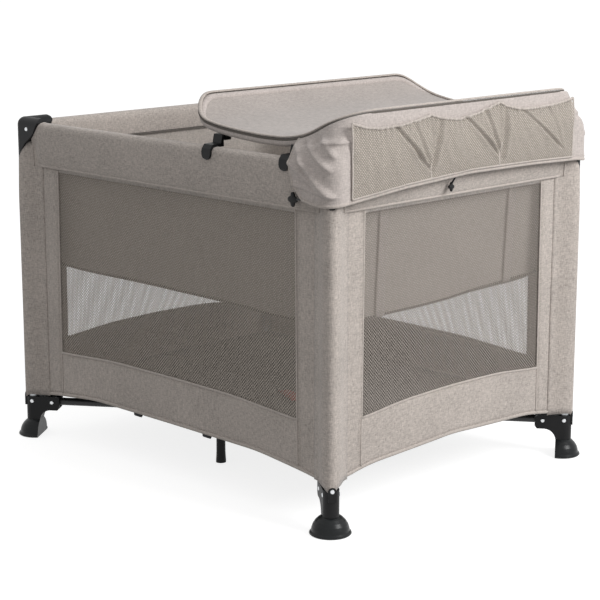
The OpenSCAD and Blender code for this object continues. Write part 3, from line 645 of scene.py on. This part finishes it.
def rail_cover(s):
    h = half[s]

    def point(u, k):
        v, z = cover_section[k]
        t = u * (h - cover_end(z))
        off_post = h - abs(t)
        near = off_post / 0.10
        soft = 0.0012 * wave(t * 7, z * 9, s * 4.1) + 0.0006 * wave(t * 26, z * 14, s * 6.7)
        pucker = 0.0008 * math.exp(-max(0, near - 0.6) * 3) * wave(t * 95, z * 12, s * 2.3)
        bulge = (soft + pucker) * (0.25 + 0.75 * math.sin(math.pi * min(1, k / 14)))
        if k >= 12:
            return on_side(s, t, v + bulge * 0.5, z)
        # below the housing the end is sewn down on the sleeve
        down = min(1, max(0, (0.062 - off_post) / 0.030)) * min(1, max(0, (0.716 - z) / 0.024))
        v -= bulge
        sewn = flap_v(off_post) - 0.0016
        return on_side(s, t, v + (sewn - v) * down * down * (3 - 2 * down), z)

    us = [-1 + 2 * i / 110 for i in range(111)]
    obj = surface("rail_cover_" + sides_of[s], us, list(range(len(cover_section))), point, cloth)
    smooth_out(thicken(obj, 0.0014))
    bake(obj)
    hem_path = [on_side(s, t, 0.0046, cover_low + 0.0005) for t in steps((-h + 0.031, 80), (h - 0.031, 1))]
    bits = [tube("piping", hem_path, 0.0030, cloth_band, flat=0.8)]
    bits.append(stitches("row", [on_side(s, t, 0.0010 - 0.0012, cover_low + 0.0100)
                                 for t in steps((-h + 0.036, 40), (h - 0.036, 1))], thread_mat))
    for e in (-1, 1):
        edge = [Vector(point(e, k)) - Vector(along(s)) * e * 0.0016 for k in range(1, 14)]
        bits.append(tube("end_binding", edge, 0.0022, cloth_band, flat=0.6, up=tuple(along(s))))
    trim = join("rail_cover_trim_" + sides_of[s], bits)
    for piece in (obj, trim):
        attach(piece, "post_" + corners[s])
        tuple(along(s))
        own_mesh(piece)


for s in range(4):
    rail_cover(s)

# ---------------------------------------------------------------- pen floor, loops and pull strap
# A polyester floor in four quarters, stitched along the middle and piped round its edge, that gathers
# with the base tubes. Webbing loops tie it to the lower hems; a red strap at its middle folds the pen.
cloth_floor = woven("cloth_floor", "#6b665f", contrast=0.12)
webbing = woven("webbing_black", "#26262a", contrast=0.2)
webbing_red = woven("webbing_red", "#d23a31", contrast=0.12)
floor_top = 0.1285


def floor_quarter(c):
    sx, sy = corner_sign[c]
    x1, y1 = post_x - 0.012, post_y - 0.012
    us = steps((0.0, 26), (1, 1))

    def point(a, b):
        x, y = x1 * a, y1 * b
        cut = max(0.0, 0.030 - math.hypot(post_x - x, post_y - y))
        x, y = x - cut, y - cut
        dip = 0.0012 * wave(x * 9 * sx, y * 9 * sy, 0, 2.2) - 0.0006 * math.exp(-(min(x, y) / 0.004) ** 2)
        return sx * x, sy * y, floor_top + dip

    obj = surface("pen_floor_" + corners[c], us, us, point, cloth_floor)
    thicken(obj, 0.0026)
    bake(obj)
    sewn_x, sewn_y = steps((0.03, 30), (x1 - 0.03, 1)), steps((0.03, 30), (y1 - 0.03, 1))
    piped_x, piped_y = steps((0.0, 30), (x1 - 0.03, 1)), steps((0.0, 30), (y1 - 0.03, 1))
    rows = [stitches("row", [(sx * x, sy * 0.006, floor_top + 0.0016) for x in sewn_x], thread_mat),
            stitches("row", [(sx * 0.006, sy * y, floor_top + 0.0016) for y in sewn_y], thread_mat),
            tube("piping", [(sx * x, sy * (y1 - 0.001), floor_top + 0.001) for x in piped_x], 0.0026, cloth_band),
            tube("piping", [(sx * (x1 - 0.001), sy * y, floor_top + 0.001) for y in piped_y], 0.0026, cloth_band)]
    trim = join("pen_floor_trim_" + corners[c], rows)
    for piece in (obj, trim):
        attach(piece, "base_tube_" + corners[c])
        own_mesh(piece)
    return obj


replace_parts(floor_quarter(0), "pen_floor")
for c in (1, 2, 3):
    floor_quarter(c)

# webbing loops that tie the floor to the lower hems
def floor_loop(name, s, t, width=0.025):
    path = [(0.040, 0.1330), (0.026, 0.1290), (0.0165, 0.1195), (0.0135, 0.1120), (0.0105, 0.1120), (0.0100, 0.1190),
            (0.0108, 0.1290)]
    drop = hem(s, t) - 0.1205
    obj = surface(name, steps((t - width / 2, 6), (t + width / 2, 1)), list(range(len(path))),
                  lambda x, k: on_side(s, x, path[k][0], path[k][1] + drop * (k > 1)), webbing)
    smooth_out(thicken(obj, 0.0014))
    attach(obj, "post_" + corners[s])
    tuple(along(s))
    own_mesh(obj)


floor_loop("floor_loop_front_left", 0, -0.120)
floor_loop("floor_loop_front_right", 0, 0.110)
floor_loop("floor_loop_back_left", 2, -0.110)
floor_loop("floor_loop_back_right", 2, 0.120)

# pull strap on the middle of the floor: a loop of webbing folded flat
strap_run = [(-0.012, 0.0000), (0.002, 0.0035), (0.020, 0.0070), (0.045, 0.0085), (0.070, 0.0075), (0.088, 0.0060),
             (0.091, 0.0035), (0.086, 0.0022), (0.066, 0.0022), (0.040, 0.0022), (0.014, 0.0018), (-0.012, 0.0012)]
strap_dir = math.radians(-24)
strap = surface("pull_strap", steps((-0.0125, 6), (0.0125, 1)), list(range(len(strap_run))),
                lambda v, k: (strap_run[k][0] * math.cos(strap_dir) - v * math.sin(strap_dir),
                              strap_run[k][0] * math.sin(strap_dir) + v * math.cos(strap_dir) - 0.034,
                              floor_top + 0.0022 + strap_run[k][1]), webbing_red)
smooth_out(thicken(strap, 0.0014))
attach(strap, "hub")
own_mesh(strap)

# ---------------------------------------------------------------- bassinet
# A polyester tub zipped in under the rims of the rail covers, with a piped lower edge and two bands
# of cloth sewn down each short wall. It hangs free, so its edge and walls lie in shallow waves.
cloth_light = woven("cloth_light", "#b5aca7", contrast=0.10)
cloth_inner = woven("cloth_bassinet", "#b4aca5", contrast=0.12)
piping_dark = woven("piping_dark", "#5d5751", contrast=0.10)
rim_z, base_z = 0.690, 0.400
bas_x, bas_y, flare = 0.452, 0.340, 0.014


def round_loop(x, y, r, count):
    """Evenly spread points round a rectangle with round corners, from the middle of the +x side."""
    pts = []
    n = 12
    for cx, cy, start in ((x - r, y - r, 0), (-x + r, y - r, 90), (-x + r, -y + r, 180), (x - r, -y + r, 270)):
        for i in range(n + 1):
            ang = math.radians(start + 90 * i / n)
            pts.append((cx + r * math.cos(ang), cy + r * math.sin(ang)))
    pts = [(x, 0.0)] + pts + [(x, 0.0)]
    lengths = [0.0]
    for a, b in zip(pts, pts[1:]):
        lengths.append(lengths[-1] + math.hypot(b[0] - a[0], b[1] - a[1]))
    where = [lengths[-1] * i / count for i in range(count)]
    return [(float(np.interp(w, lengths, [p[0] for p in pts])), float(np.interp(w, lengths, [p[1] for p in pts])))
            for w in where]


bas_count = 240
# rows from the zipped rim down the wall and in over the floor: (share of the wall's height, shrink)
bas_rows = [(1.02, 'rim'), (1.005, 'rim2')] + [(1 - i / 16, 'wall') for i in range(17)] + \
    [(0, f) for f in (0.985, 0.96, 0.93, 0.88, 0.8, 0.6, 0.4, 0.2, 0.02)]

last_wall_row = 18


def bassinet_sag(x, y):
    """Lift of the bassinet's lower edge, which hangs in shallow waves and rides up at its far corner."""
    return 0.012 + 0.006 * wave(x * 5, y * 5, 0, 6.0) + 0.016 * max(0.0, min(1.0, (y - 0.02) / 0.28)) * (x > 0.3)


def bassinet_point(i, k):
    share, kind = bas_rows[k]
    if kind == 'rim':
        x, y = round_loop(post_x - 0.0245, post_y - 0.0245, 0.060, bas_count)[i]
        return x, y, rim_z - 0.001
    if kind == 'rim2':
        x, y = round_loop(bas_x + flare + 0.001, bas_y + flare + 0.001, 0.055, bas_count)[i]
        return x, y, rim_z - 0.0015
    if kind == 'wall':
        grow = flare * share
        x, y = bassinet_loops[k][i]
        z = base_z + (rim_z - base_z) * share
        belly = math.sin(math.pi * share)
        corner = max(0.0, 1 - min(abs(abs(x) - bas_x - grow + 0.05), 0.12) / 0.12)
        corner *= max(0.0, 1 - abs(abs(y) - bas_y) / 0.12)
        fold = 0.0030 * wave(x * 7, y * 7, z * 3, 4.4) * belly
        crease = 0.0036 * wave(x * 26 + z * 22, y * 26 - z * 18, z * 8, 8.1) * belly
        out = -0.0018 * belly + fold + crease * (0.5 + corner)
        n = Vector((x / (bas_x ** 2), y / (bas_y ** 2), 0)).normalized()
        low = bassinet_sag(x, y) * (1 - share) ** 4
        return x + n.x * out, y + n.y * out, z + low
    x, y = bassinet_loops[last_wall_row][i]
    f = kind
    z = base_z + bassinet_sag(x, y) * f ** 16 - 0.002 * (1 - f) + 0.0008
    return x * f, y * f, z


bassinet_loops = {k: round_loop(bas_x + flare * s, bas_y + flare * s, 0.05, bas_count)
                  for k, (s, kind) in enumerate(bas_rows) if kind == 'wall'}
bas = surface("bassinet_shell", list(range(bas_count)), list(range(len(bas_rows))), bassinet_point, cloth_inner,
              closed_u=True)
thicken(bas, 0.0022)
smooth_out(bas)
bake(bas)
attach(bas, "bassinet")
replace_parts(bas, "bassinet")

bits = []
bottom = [Vector((x * 1.001, y * 1.001, base_z + 0.0015 + bassinet_sag(x, y)))
          for x, y in round_loop(bas_x + 0.001, bas_y + 0.001, 0.05, bas_count)]
bits.append(tube("bottom_piping", bottom, 0.0028, piping_dark, closed=True))
for side, places in ((1, (-0.205, 0.203)), (-1, (-0.203, 0.205))):
    for y in places:
        strip = surface("band", steps((y - 0.0125, 4), (y + 0.0125, 1)), list(range(3, last_wall_row + 1)),
                        lambda v, k: (side * (bas_x + flare * bas_rows[k][0] + 0.0045), v,
                                      base_z + (rim_z - base_z) * bas_rows[k][0] +
                                      bassinet_sag(side * bas_x, v) * (1 - bas_rows[k][0]) ** 4), cloth_light)
        bits.append(bake(thicken(strip, 0.0014)))
zip_path = [Vector((x, y, rim_z + 0.0010)) for x, y in round_loop(post_x - 0.034, post_y - 0.034, 0.058, bas_count)]
bits.append(tube("zip", zip_path, 0.0016, piping_dark, closed=True, flat=2.4))
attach(join("bassinet_trim", bits), "bassinet")

# ---------------------------------------------------------------- mattress
# Four boards of hardboard and foam in polyester, each piped round its edge.
# They hinge on their cover and lie flat on the bassinet's floor.
pad_x, pad_y, pad_low, pad_t = 0.411, 0.301, 0.4036, 0.025


def pillow(name, cx, cy, hx, hy, z0, height, material, crown=0.35):
    """A closed padded board: crowned faces, pinched edge, drawn-in sides between its corners."""
    us = [-1 + 2 * i / 26 for i in range(27)]

    def edge(u, v):
        pull_x = 1 - 0.012 * (1 - v * v)
        pull_y = 1 - 0.010 * (1 - u * u)
        return cx + hx * u * pull_x, cy + hy * v * pull_y

    def lift(u, v):
        d = (1 - abs(u) ** 5) * (1 - abs(v) ** 9)
        return max(0.0, d) ** 0.45

    faces = []
    for top in (1, -1):
        def point(u, v, top=top):
            x, y = edge(u, v)
            h = lift(u, v)
            rise = height / 2 * (1 - crown) * h + height / 2 * crown * h * (1 - u * u) * (1 - 0.5 * v * v)
            rise += 0.0008 * h * wave(x * 30, y * 30, top, cx * 9)
            return x, y, z0 + height / 2 + (rise if top > 0 else -min(rise, height / 2 - 0.001))
        faces.append(surface("face", us, us, point, material))
    path = [edge(u, -1) for u in us] + [edge(1, v) for v in us[1:]] + [edge(u, 1) for u in us[::-1][1:]] + \
        [edge(-1, v) for v in us[::-1][1:-1]]
    rim = tube("piping", [(x, y, z0 + height / 2) for x, y in path], 0.0022, piping_dark, closed=True)
    body = join("faces", faces)
    bm = bmesh.new()
    bm.from_mesh(body.data)
    bmesh.ops.remove_doubles(bm, verts=bm.verts, dist=0.0002)
    bmesh.ops.recalc_face_normals(bm, faces=bm.faces)
    bm.to_mesh(body.data)
    bm.free()
    for polygon in body.data.polygons:
        polygon.use_smooth = True
    return join(name, [body, rim])


quarter = 2 * pad_x / 4
for i in range(4):
    board = pillow("mattress_board_%d" % (i + 1), -pad_x + (i + 0.5) * quarter, 0, quarter / 2 - 0.003, pad_y, pad_low,
                   pad_t, cloth_light)
    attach(board, "mattress")
    if i == 0:
        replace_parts(board, "mattress")

# ---------------------------------------------------------------- changer with its skirt
# A padded polyester tray on a tube frame, dished in the middle, with piping and a binding at its edge.
# Cloth wraps the tube, and a skirt sewn to the outer edge hangs down over the rails.
# The tray's cloth is the light cloth made darker: painted shade that holds back the lamp falling on the tray's top.
cloth_tray_painted_shade = woven("cloth_tray_painted_shade", "#a39b96", contrast=0.10)
tray_x0, tray_x1, tray_y, tray_r = 0.042, 0.514, 0.361, 0.075
tray_profile = [(0.030, 0.856), (0.040, 0.8475), (0.052, 0.8300), (0.070, 0.8120), (0.100, 0.7960), (0.150, 0.7870),
                (0.211, 0.7815), (0.276, 0.7780), (0.340, 0.7785), (0.385, 0.7850), (0.420, 0.7960), (0.449, 0.8110),
                (0.480, 0.8260), (0.512, 0.8400), (0.530, 0.8470)]


def tray_z(x):
    return sum(lerp_table(x + d, tray_profile) for d in (-0.016, -0.008, 0, 0.008, 0.016)) / 5


tray_mid = (tray_x0 + tray_x1) / 2
tray_half = (tray_x1 - tray_x0) / 2
tray_cells = 260
tray_loop = [(x + tray_mid, y) for x, y in round_loop(tray_half, tray_y, tray_r, tray_cells)]
tray_rings = [1.0, 0.996, 0.985, 0.965, 0.93, 0.88, 0.80, 0.70, 0.60, 0.48, 0.36, 0.24, 0.12, 0.01]


def tray_height(x, y, f):
    """Height of the padded top at share f from the middle to the edge."""
    puff = 0.0055 * (1 - f ** 6)
    soft = 0.0016 * wave(x * 6, y * 6, 0, 1.3) + 0.0007 * wave(x * 22, y * 9, 0, 5.2)
    pull = 0.0010 * wave(x * 9, y * 34, 0, 9.9) * f ** 3
    return tray_z(x) + puff + (soft + pull) * min(1, (1 - f) * 12)


def tray_point(i, k):
    x, y = tray_loop[i]
    f = tray_rings[k] if k < len(tray_rings) else tray_rings[2 * len(tray_rings) - 1 - k]
    px, py = tray_mid + (x - tray_mid) * f, y * f
    if k < len(tray_rings):
        return px, py, tray_height(px, py, f) - 0.001
    return px, py, tray_z(px) - 0.0125 * min(1, (1 - f) * 40 + 0.55)


tray = surface("changer_pad", list(range(tray_cells)), list(range(2 * len(tray_rings))), tray_point, cloth_tray_painted_shade,
               closed_u=True)
smooth_out(tray)
bake(tray)
bits = []
rim_line = [Vector((x, y, tray_z(x) - 0.0035)) for x, y in tray_loop]
bits.append(tube("edge_piping", rim_line, 0.0026, piping_dark, closed=True))
binding = [Vector((tray_mid + (p.x - tray_mid) * 0.994, p.y * 0.996, p.z + 0.0052)) for p in rim_line]
bits.append(tube("edge_binding", binding, 0.0024, cloth_band, closed=True, flat=1.8))
inner = [Vector((tray_mid + (p.x - tray_mid) * 0.955, p.y * 0.97, 0)) for p in rim_line]
for p in inner:
    p.z = tray_height(p.x, p.y, 0.96) + 0.0002
bits.append(stitches("row", inner + inner[:1], thread_mat))
tray_trim = join("changer_trim", bits)
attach(tray, "changer")
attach(tray_trim, "changer")
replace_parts(tray, "changer_tray")

# cloth wrapped round the tube that frames the tray
wrap = tube("changer_edge_wrap", [Vector((tray_mid + (x - tray_mid) * 0.978, y * 0.984, tray_z(x) - 0.0100))
                                  for x, y in tray_loop], 0.0078, cloth_light, closed=True, sides=12)
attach(wrap, "changer")
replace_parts(wrap, "changer_frame")

# skirt: top edge on the tray's outline, lower hem hanging outside the rails
skirt_front, skirt_back_off = 0.386, 0.048  # where an end panel begins, at the top, and how far its hem falls back
skirt_out, skirt_end = 0.5205, 0.4045  # outer face of the hem, long and short way


def skirt_path(top):
    """Plan path from the near front edge, round the outer side, to the far front edge."""
    x0, x1, y1, r = (skirt_front, tray_x1 + 0.001, tray_y + 0.002, 0.060) if top else \
        (skirt_front + skirt_back_off, skirt_out, skirt_end, 0.030)
    pts = [(x0, -y1)] + [(x1 - r + r * math.sin(math.radians(a)), -y1 + r - r * math.cos(math.radians(a)))
                         for a in range(0, 91, 9)]
    return pts + [(x, -y) for x, y in pts[::-1]]


def resample(pts, stations):
    """Points at the given shares of an open path's length; shares are matched piece by piece."""
    lengths = [0.0]
    for a, b in zip(pts, pts[1:]):
        lengths.append(lengths[-1] + math.dist(a, b))
    return [tuple(float(np.interp(u * lengths[-1], lengths, [p[d] for p in pts])) for d in range(len(pts[0])))
            for u in stations]


skirt_cells, skirt_rows = 320, 60
skirt_us = [i / skirt_cells for i in range(skirt_cells + 1)]
skirt_hi = resample(skirt_path(True), skirt_us)
skirt_lo = resample(skirt_path(False), skirt_us)
hem_z = [(-0.405, 0.6640), (-0.36, 0.6690), (-0.20, 0.6830), (0.0, 0.6930), (0.20, 0.6910),
         (0.36, 0.6860), (0.405, 0.6800)]


def skirt_crease(x, y, z):
    """Creases of an end panel that fan out from the tray's outer corner."""
    dx, dz = x - 0.515, z - 0.845
    angle, reach = math.atan2(dz, dx), math.hypot(dx, dz)
    side = 2.0 if y > 0 else 5.0
    folds = 0
    for fans, seed, size in ((2.6, 1.7, 0.0065), (5.5, 6.1, 0.0035)):
        bend = 1.5 * wave(reach * 9, seed, 0, side)
        folds += size * (0.45 - abs(wave(angle * fans + bend, reach * 5, 0, side * seed)) * 2)
    return folds * min(1, reach / 0.05)


# pulled folds of the near end panel, from the clip at its front edge down to the corner: ends, height, half width
pulled_folds = [((0.398, 0.794), (0.490, 0.742), 0.0090, 0.0067), ((0.396, 0.768), (0.437, 0.739), 0.0075, 0.0054),
                ((0.430, 0.743), (0.497, 0.690), 0.0093, 0.0077), ((0.400, 0.736), (0.480, 0.694), 0.0058, 0.0054),
                ((0.470, 0.782), (0.512, 0.786), 0.0072, 0.0054), ((0.402, 0.700), (0.500, 0.684), 0.0043, 0.0040),
                ((0.440, 0.808), (0.500, 0.764), 0.0052, 0.0063)]


def pulled(x, z):
    """Height of the sharp folds above the panel; each one is steeper on its lower side."""
    height = 0.0
    for (xa, za), (xb, zb), size, width in pulled_folds:
        length = math.hypot(xb - xa, zb - za)
        along = ((x - xa) * (xb - xa) + (z - za) * (zb - za)) / length ** 2
        off = ((z - za) * (xb - xa) - (x - xa) * (zb - za)) / length
        reach = max(0.0, 1 - (max(0.0, -along, along - 1) / 0.22) ** 2)
        height += size * reach * math.exp(-(off / (width if off > 0 else width * 0.55)) ** 2)
    return height


def skirt_point(i, k):
    share = k / skirt_rows
    (xa, ya), (xb, yb) = skirt_hi[i], skirt_lo[i]
    top = tray_z(xa) - 0.004
    low = lerp_table(yb, hem_z) + (0.009 * max(0, (0.47 - xb) / 0.045) if abs(yb) > 0.38 else 0)
    z = top + (low - top) * share
    # cloth leaves the tray's edge steeply, then hangs straight down; the front edge curves back to the hem
    ease = math.sin(min(1, share * 1.7) * math.pi / 2) ** 0.8
    front = min(1, max(0, ((xa + xb) / 2 - 0.40) / 0.07))
    x = xa + (xb - xa) * (ease * front + share ** 3 * (1 - front))
    y = ya + (yb - ya) * ease
    n = Vector((skirt_lo[min(i + 1, skirt_cells)][1] - skirt_lo[max(i - 1, 0)][1],
                -(skirt_lo[min(i + 1, skirt_cells)][0] - skirt_lo[max(i - 1, 0)][0]), 0)).normalized()
    end = min(1.0, max(0.0, (abs(y) - 0.33) / 0.05))
    drape = 0.0042 * wave(x * 13 + z * 7, y * 9, z * 8, 3.1) + 0.0012 * wave(x * 40, y * 36 + z * 22, z * 14, 7.7)
    out = (drape * (0.4 + 0.6 * end) + skirt_crease(x, y, z) * end) * math.sin(math.pi * min(1, share * 1.02)) ** 0.5
    out = max(out, -0.0010) if z < 0.775 and (abs(y) > 0.38 or x > 0.5) else out
    out += pulled(x, z) * end * min(1, share * 8, (1 - share) * 9) * (1 if y < 0 else 0.6)
    return x + n.x * out, y + n.y * out, z


skirt = surface("changer_skirt_cloth", list(range(skirt_cells + 1)), list(range(skirt_rows + 1)), skirt_point,
                cloth_light)
thicken(skirt, 0.0014)
smooth_out(skirt)
bake(skirt)
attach(skirt, "changer")
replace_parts(skirt, "changer_skirt")
bits = []
line = [Vector(skirt_point(i, skirt_rows)) for i in range(0, skirt_cells + 1, 3)]
bits.append(tube("hem", line, 0.0034, cloth_band, flat=0.7))
hem_row = [Vector(skirt_point(i, 56.8)) + Vector((0.0012, math.copysign(0.0012, p.y) if abs(p.y) > .38 else 0, 0))
           for i, p in zip(range(0, skirt_cells + 1, 3), line)]
bits.append(stitches("row", hem_row, thread_mat))
for i in (0, skirt_cells):
    line = [Vector(skirt_point(i, k)) for k in range(skirt_rows + 1)]
    bits.append(tube("front_edge", line, 0.0026, cloth_band, up=(1, 0, 0), flat=0.7))
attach(join("changer_skirt_trim", bits), "changer")

# ---------------------------------------------------------------- mesh pockets on the skirt
# Knitted mesh gathered on elastic and sewn down along four seams, so that it bags into three pockets.
# The elastic draws it up into deep pleats over the inner seams.
net_pocket = netting("net_pocket", "#aaa298", 0.66, cell=0.0066, soft=0.42)
pocket_ends = [-0.356, -0.128, 0.087, 0.338]
pocket_tops = [(-0.356, .8210), (-0.320, .8110), (-0.282, .8060), (-0.220, .8070), (-0.165, .8140), (-0.128, .8200),
               (-0.100, .8120), (-0.047, .8050), (0.010, .8120), (0.050, .8210), (0.087, .8290), (0.110, .8200),
               (0.150, .8110), (0.192, .8090), (0.250, .8110), (0.300, .8150), (0.338, .8200)]
pleats = [(-0.131, 0.706, ((-0.114, 1.0), (-0.055, 0.5), (0.033, 1.0))),
          (0.094, 0.710, ((-0.127, 0.9), (-0.056, 0.8), (0.013, 1.0))),
          (0.300, 0.712, ((-0.150, 0.7), (-0.060, 0.3)))]
pocket_rows = 48
pocket_ys = steps((-0.356, 250), (0.338, 1))


def skirt_x(y, z):
    """Outer face of the skirt where a pocket lies on it."""
    share = min(1, max(0, (tray_z(tray_x1) - 0.004 - z) / 0.15))
    ease = math.sin(min(1, share * 1.7) * math.pi / 2) ** 0.8
    return tray_x1 + 0.001 + (skirt_out - tray_x1 - 0.001) * ease


def pocket_point(y, k):
    share = k / pocket_rows
    top = lerp_table(y, pocket_tops)
    low = lerp_table(y, hem_z) + 0.006
    z = low + (top - low) * share
    bag = 0.0
    for a, b in zip(pocket_ends, pocket_ends[1:]):
        if a <= y <= b:
            f = (y - a) / (b - a)
            bag = (4 * f * (1 - f)) ** 0.5
    fall = math.sin(math.pi * min(1.0, share * 0.94)) ** 0.7
    out = 0.0030 + 0.0084 * bag * fall
    for cy, cz, legs in pleats:
        h = max(0.0, (z - cz) / (0.815 - cz))
        for lean, depth in legs:
            d = y - (cy + lean * h)
            deep = depth * min(1, h * 9) * (1 - 0.35 * h)
            out -= 0.0088 * math.exp(-(d / 0.0050) ** 2) * deep
            out += 0.0042 * math.exp(-((d - 0.0105) / 0.0060) ** 2) * deep
            out += 0.0026 * math.exp(-((d + 0.012) / 0.008) ** 2) * deep
    gather = 0.0013 * math.sin(y * 520 + 2 * math.sin(y * 60)) * max(0, (share - 0.72) / 0.28)
    soft = 0.0026 * wave(y * 24, z * 20, 0, 2.8) + 0.0020 * wave(y * 52 + z * 20, z * 30, 0, 4.8)
    out += gather + soft * (0.3 + 0.7 * fall)
    return skirt_x(y, z) + max(0.0016, out), y, z


pocket = surface("changer_pocket_net", pocket_ys, list(range(pocket_rows + 1)), pocket_point, net_pocket)
smooth_out(pocket)
bake(pocket)
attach(pocket, "changer")
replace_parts(pocket, "changer_pockets")
bits = []
top_line = [Vector(pocket_point(y, pocket_rows)) for y in pocket_ys]
ruffle = [0.0030 + 0.0006 * math.sin(i * 1.9) for i in range(len(top_line))]
bits.append(tube("elastic", top_line, ruffle, cloth_band, flat=0.8))
bits.append(tube("low_edge", [Vector(pocket_point(y, 0)) for y in pocket_ys], 0.0022, cloth_band, flat=0.7))
for y in pocket_ends:
    # the outer seams run to the elastic; the inner ones end under the pleats
    sewn_rows = pocket_rows + 1 if y in (pocket_ends[0], pocket_ends[-1]) else 19
    seam = [Vector(pocket_point(y, k)) for k in range(sewn_rows)]
    bits.append(tube("pocket_seam", seam, 0.0020, cloth_band, flat=0.6, up=(0, 1, 0)))
elastic_row = [p + Vector((0.0026, 0, -0.0010)) for p in top_line]
bits.append(stitches("row", elastic_row, thread_mat, pitch=0.0046, length=0.0026, radius=0.0006))
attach(join("changer_pocket_trim", bits), "changer")

# ---------------------------------------------------------------- moulded clips
# Flat snap clips of moulded nylon with four round arms, on the hems of three side panels.
# A short loop of webbing ties each one to the skirt's hem.
def clip_star(name, centre, size, s, body):
    """A flat four-pointed snap clip with rounded arms on a side's hem."""
    verts, faces = [], []
    n = 32
    for depth, scale in ((0.0, 1.0), (0.0030, 1.0), (0.0042, 0.80), (0.0046, 0.35)):
        for k in range(n):
            ang = math.tau * k / n + math.radians(20)
            r = size * scale * (0.62 + 0.38 * abs(math.cos(2 * ang)) ** 1.5)
            verts.append(on_side(s, centre[0] + r * math.cos(ang), centre[1] - depth,
                                 centre[2] + r * 1.15 * math.sin(ang)))
    for layer in range(3):
        for k in range(n):
            m = (k + 1) % n
            faces.append((layer * n + k, layer * n + m, (layer + 1) * n + m, (layer + 1) * n + k))
    faces.append(tuple(range(3 * n, 4 * n)))
    faces.append(tuple(range(n))[::-1])
    obj = make_object(name, verts, faces, plastic)
    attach(obj, body)
    return obj


loops = []
for name, at, z, size, s in (("clip_near", 0.400, 0.667, 0.0130, 0), ("clip_far", -0.400, 0.667, 0.0130, 2),
                             ("clip_end", -0.047, 0.666, 0.0085, 1)):
    clip_star(name, (at, -0.0125, z), size, s, "changer")
    clip_middle = Vector(on_side(s, at, -0.0105, z))
    hem_points = [Vector(skirt_point(i, skirt_rows)) for i in range(skirt_cells + 1)]
    hem_point = min(hem_points, key=lambda p: (p - clip_middle).length)
    loops.append(tube("loop", [clip_middle.lerp(hem_point, t / 4) for t in range(5)], 0.0022, webbing, flat=0.6))
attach(join("clip_loops", loops), "changer")

# ---------------------------------------------------------------- floor under the pen
# Matt white paper, far wider than the view, that keeps the pen's shadow.
# It shows as white without adding light from below.
studio_white = bpy.data.materials.new("studio_white")
studio_white.use_nodes = True
paper = studio_white.node_tree.nodes["Principled BSDF"]
paper.inputs["Base Color"].default_value = (0.40, 0.40, 0.40, 1)
paper.inputs["Roughness"].default_value = 1
paper.inputs["Specular IOR Level"].default_value = 0
paper.inputs["Emission Color"].default_value = (1, 1, 1, 1)
white_when_seen(studio_white.node_tree, 0.0, 0.82, paper.inputs["Emission Strength"])
reach = 30
floor = make_object("studio_floor", [(x * reach, y * reach, -0.0005) for x, y in ((-1, -1), (1, -1), (1, 1), (-1, 1))],
                    [(0, 1, 2, 3)], studio_white)
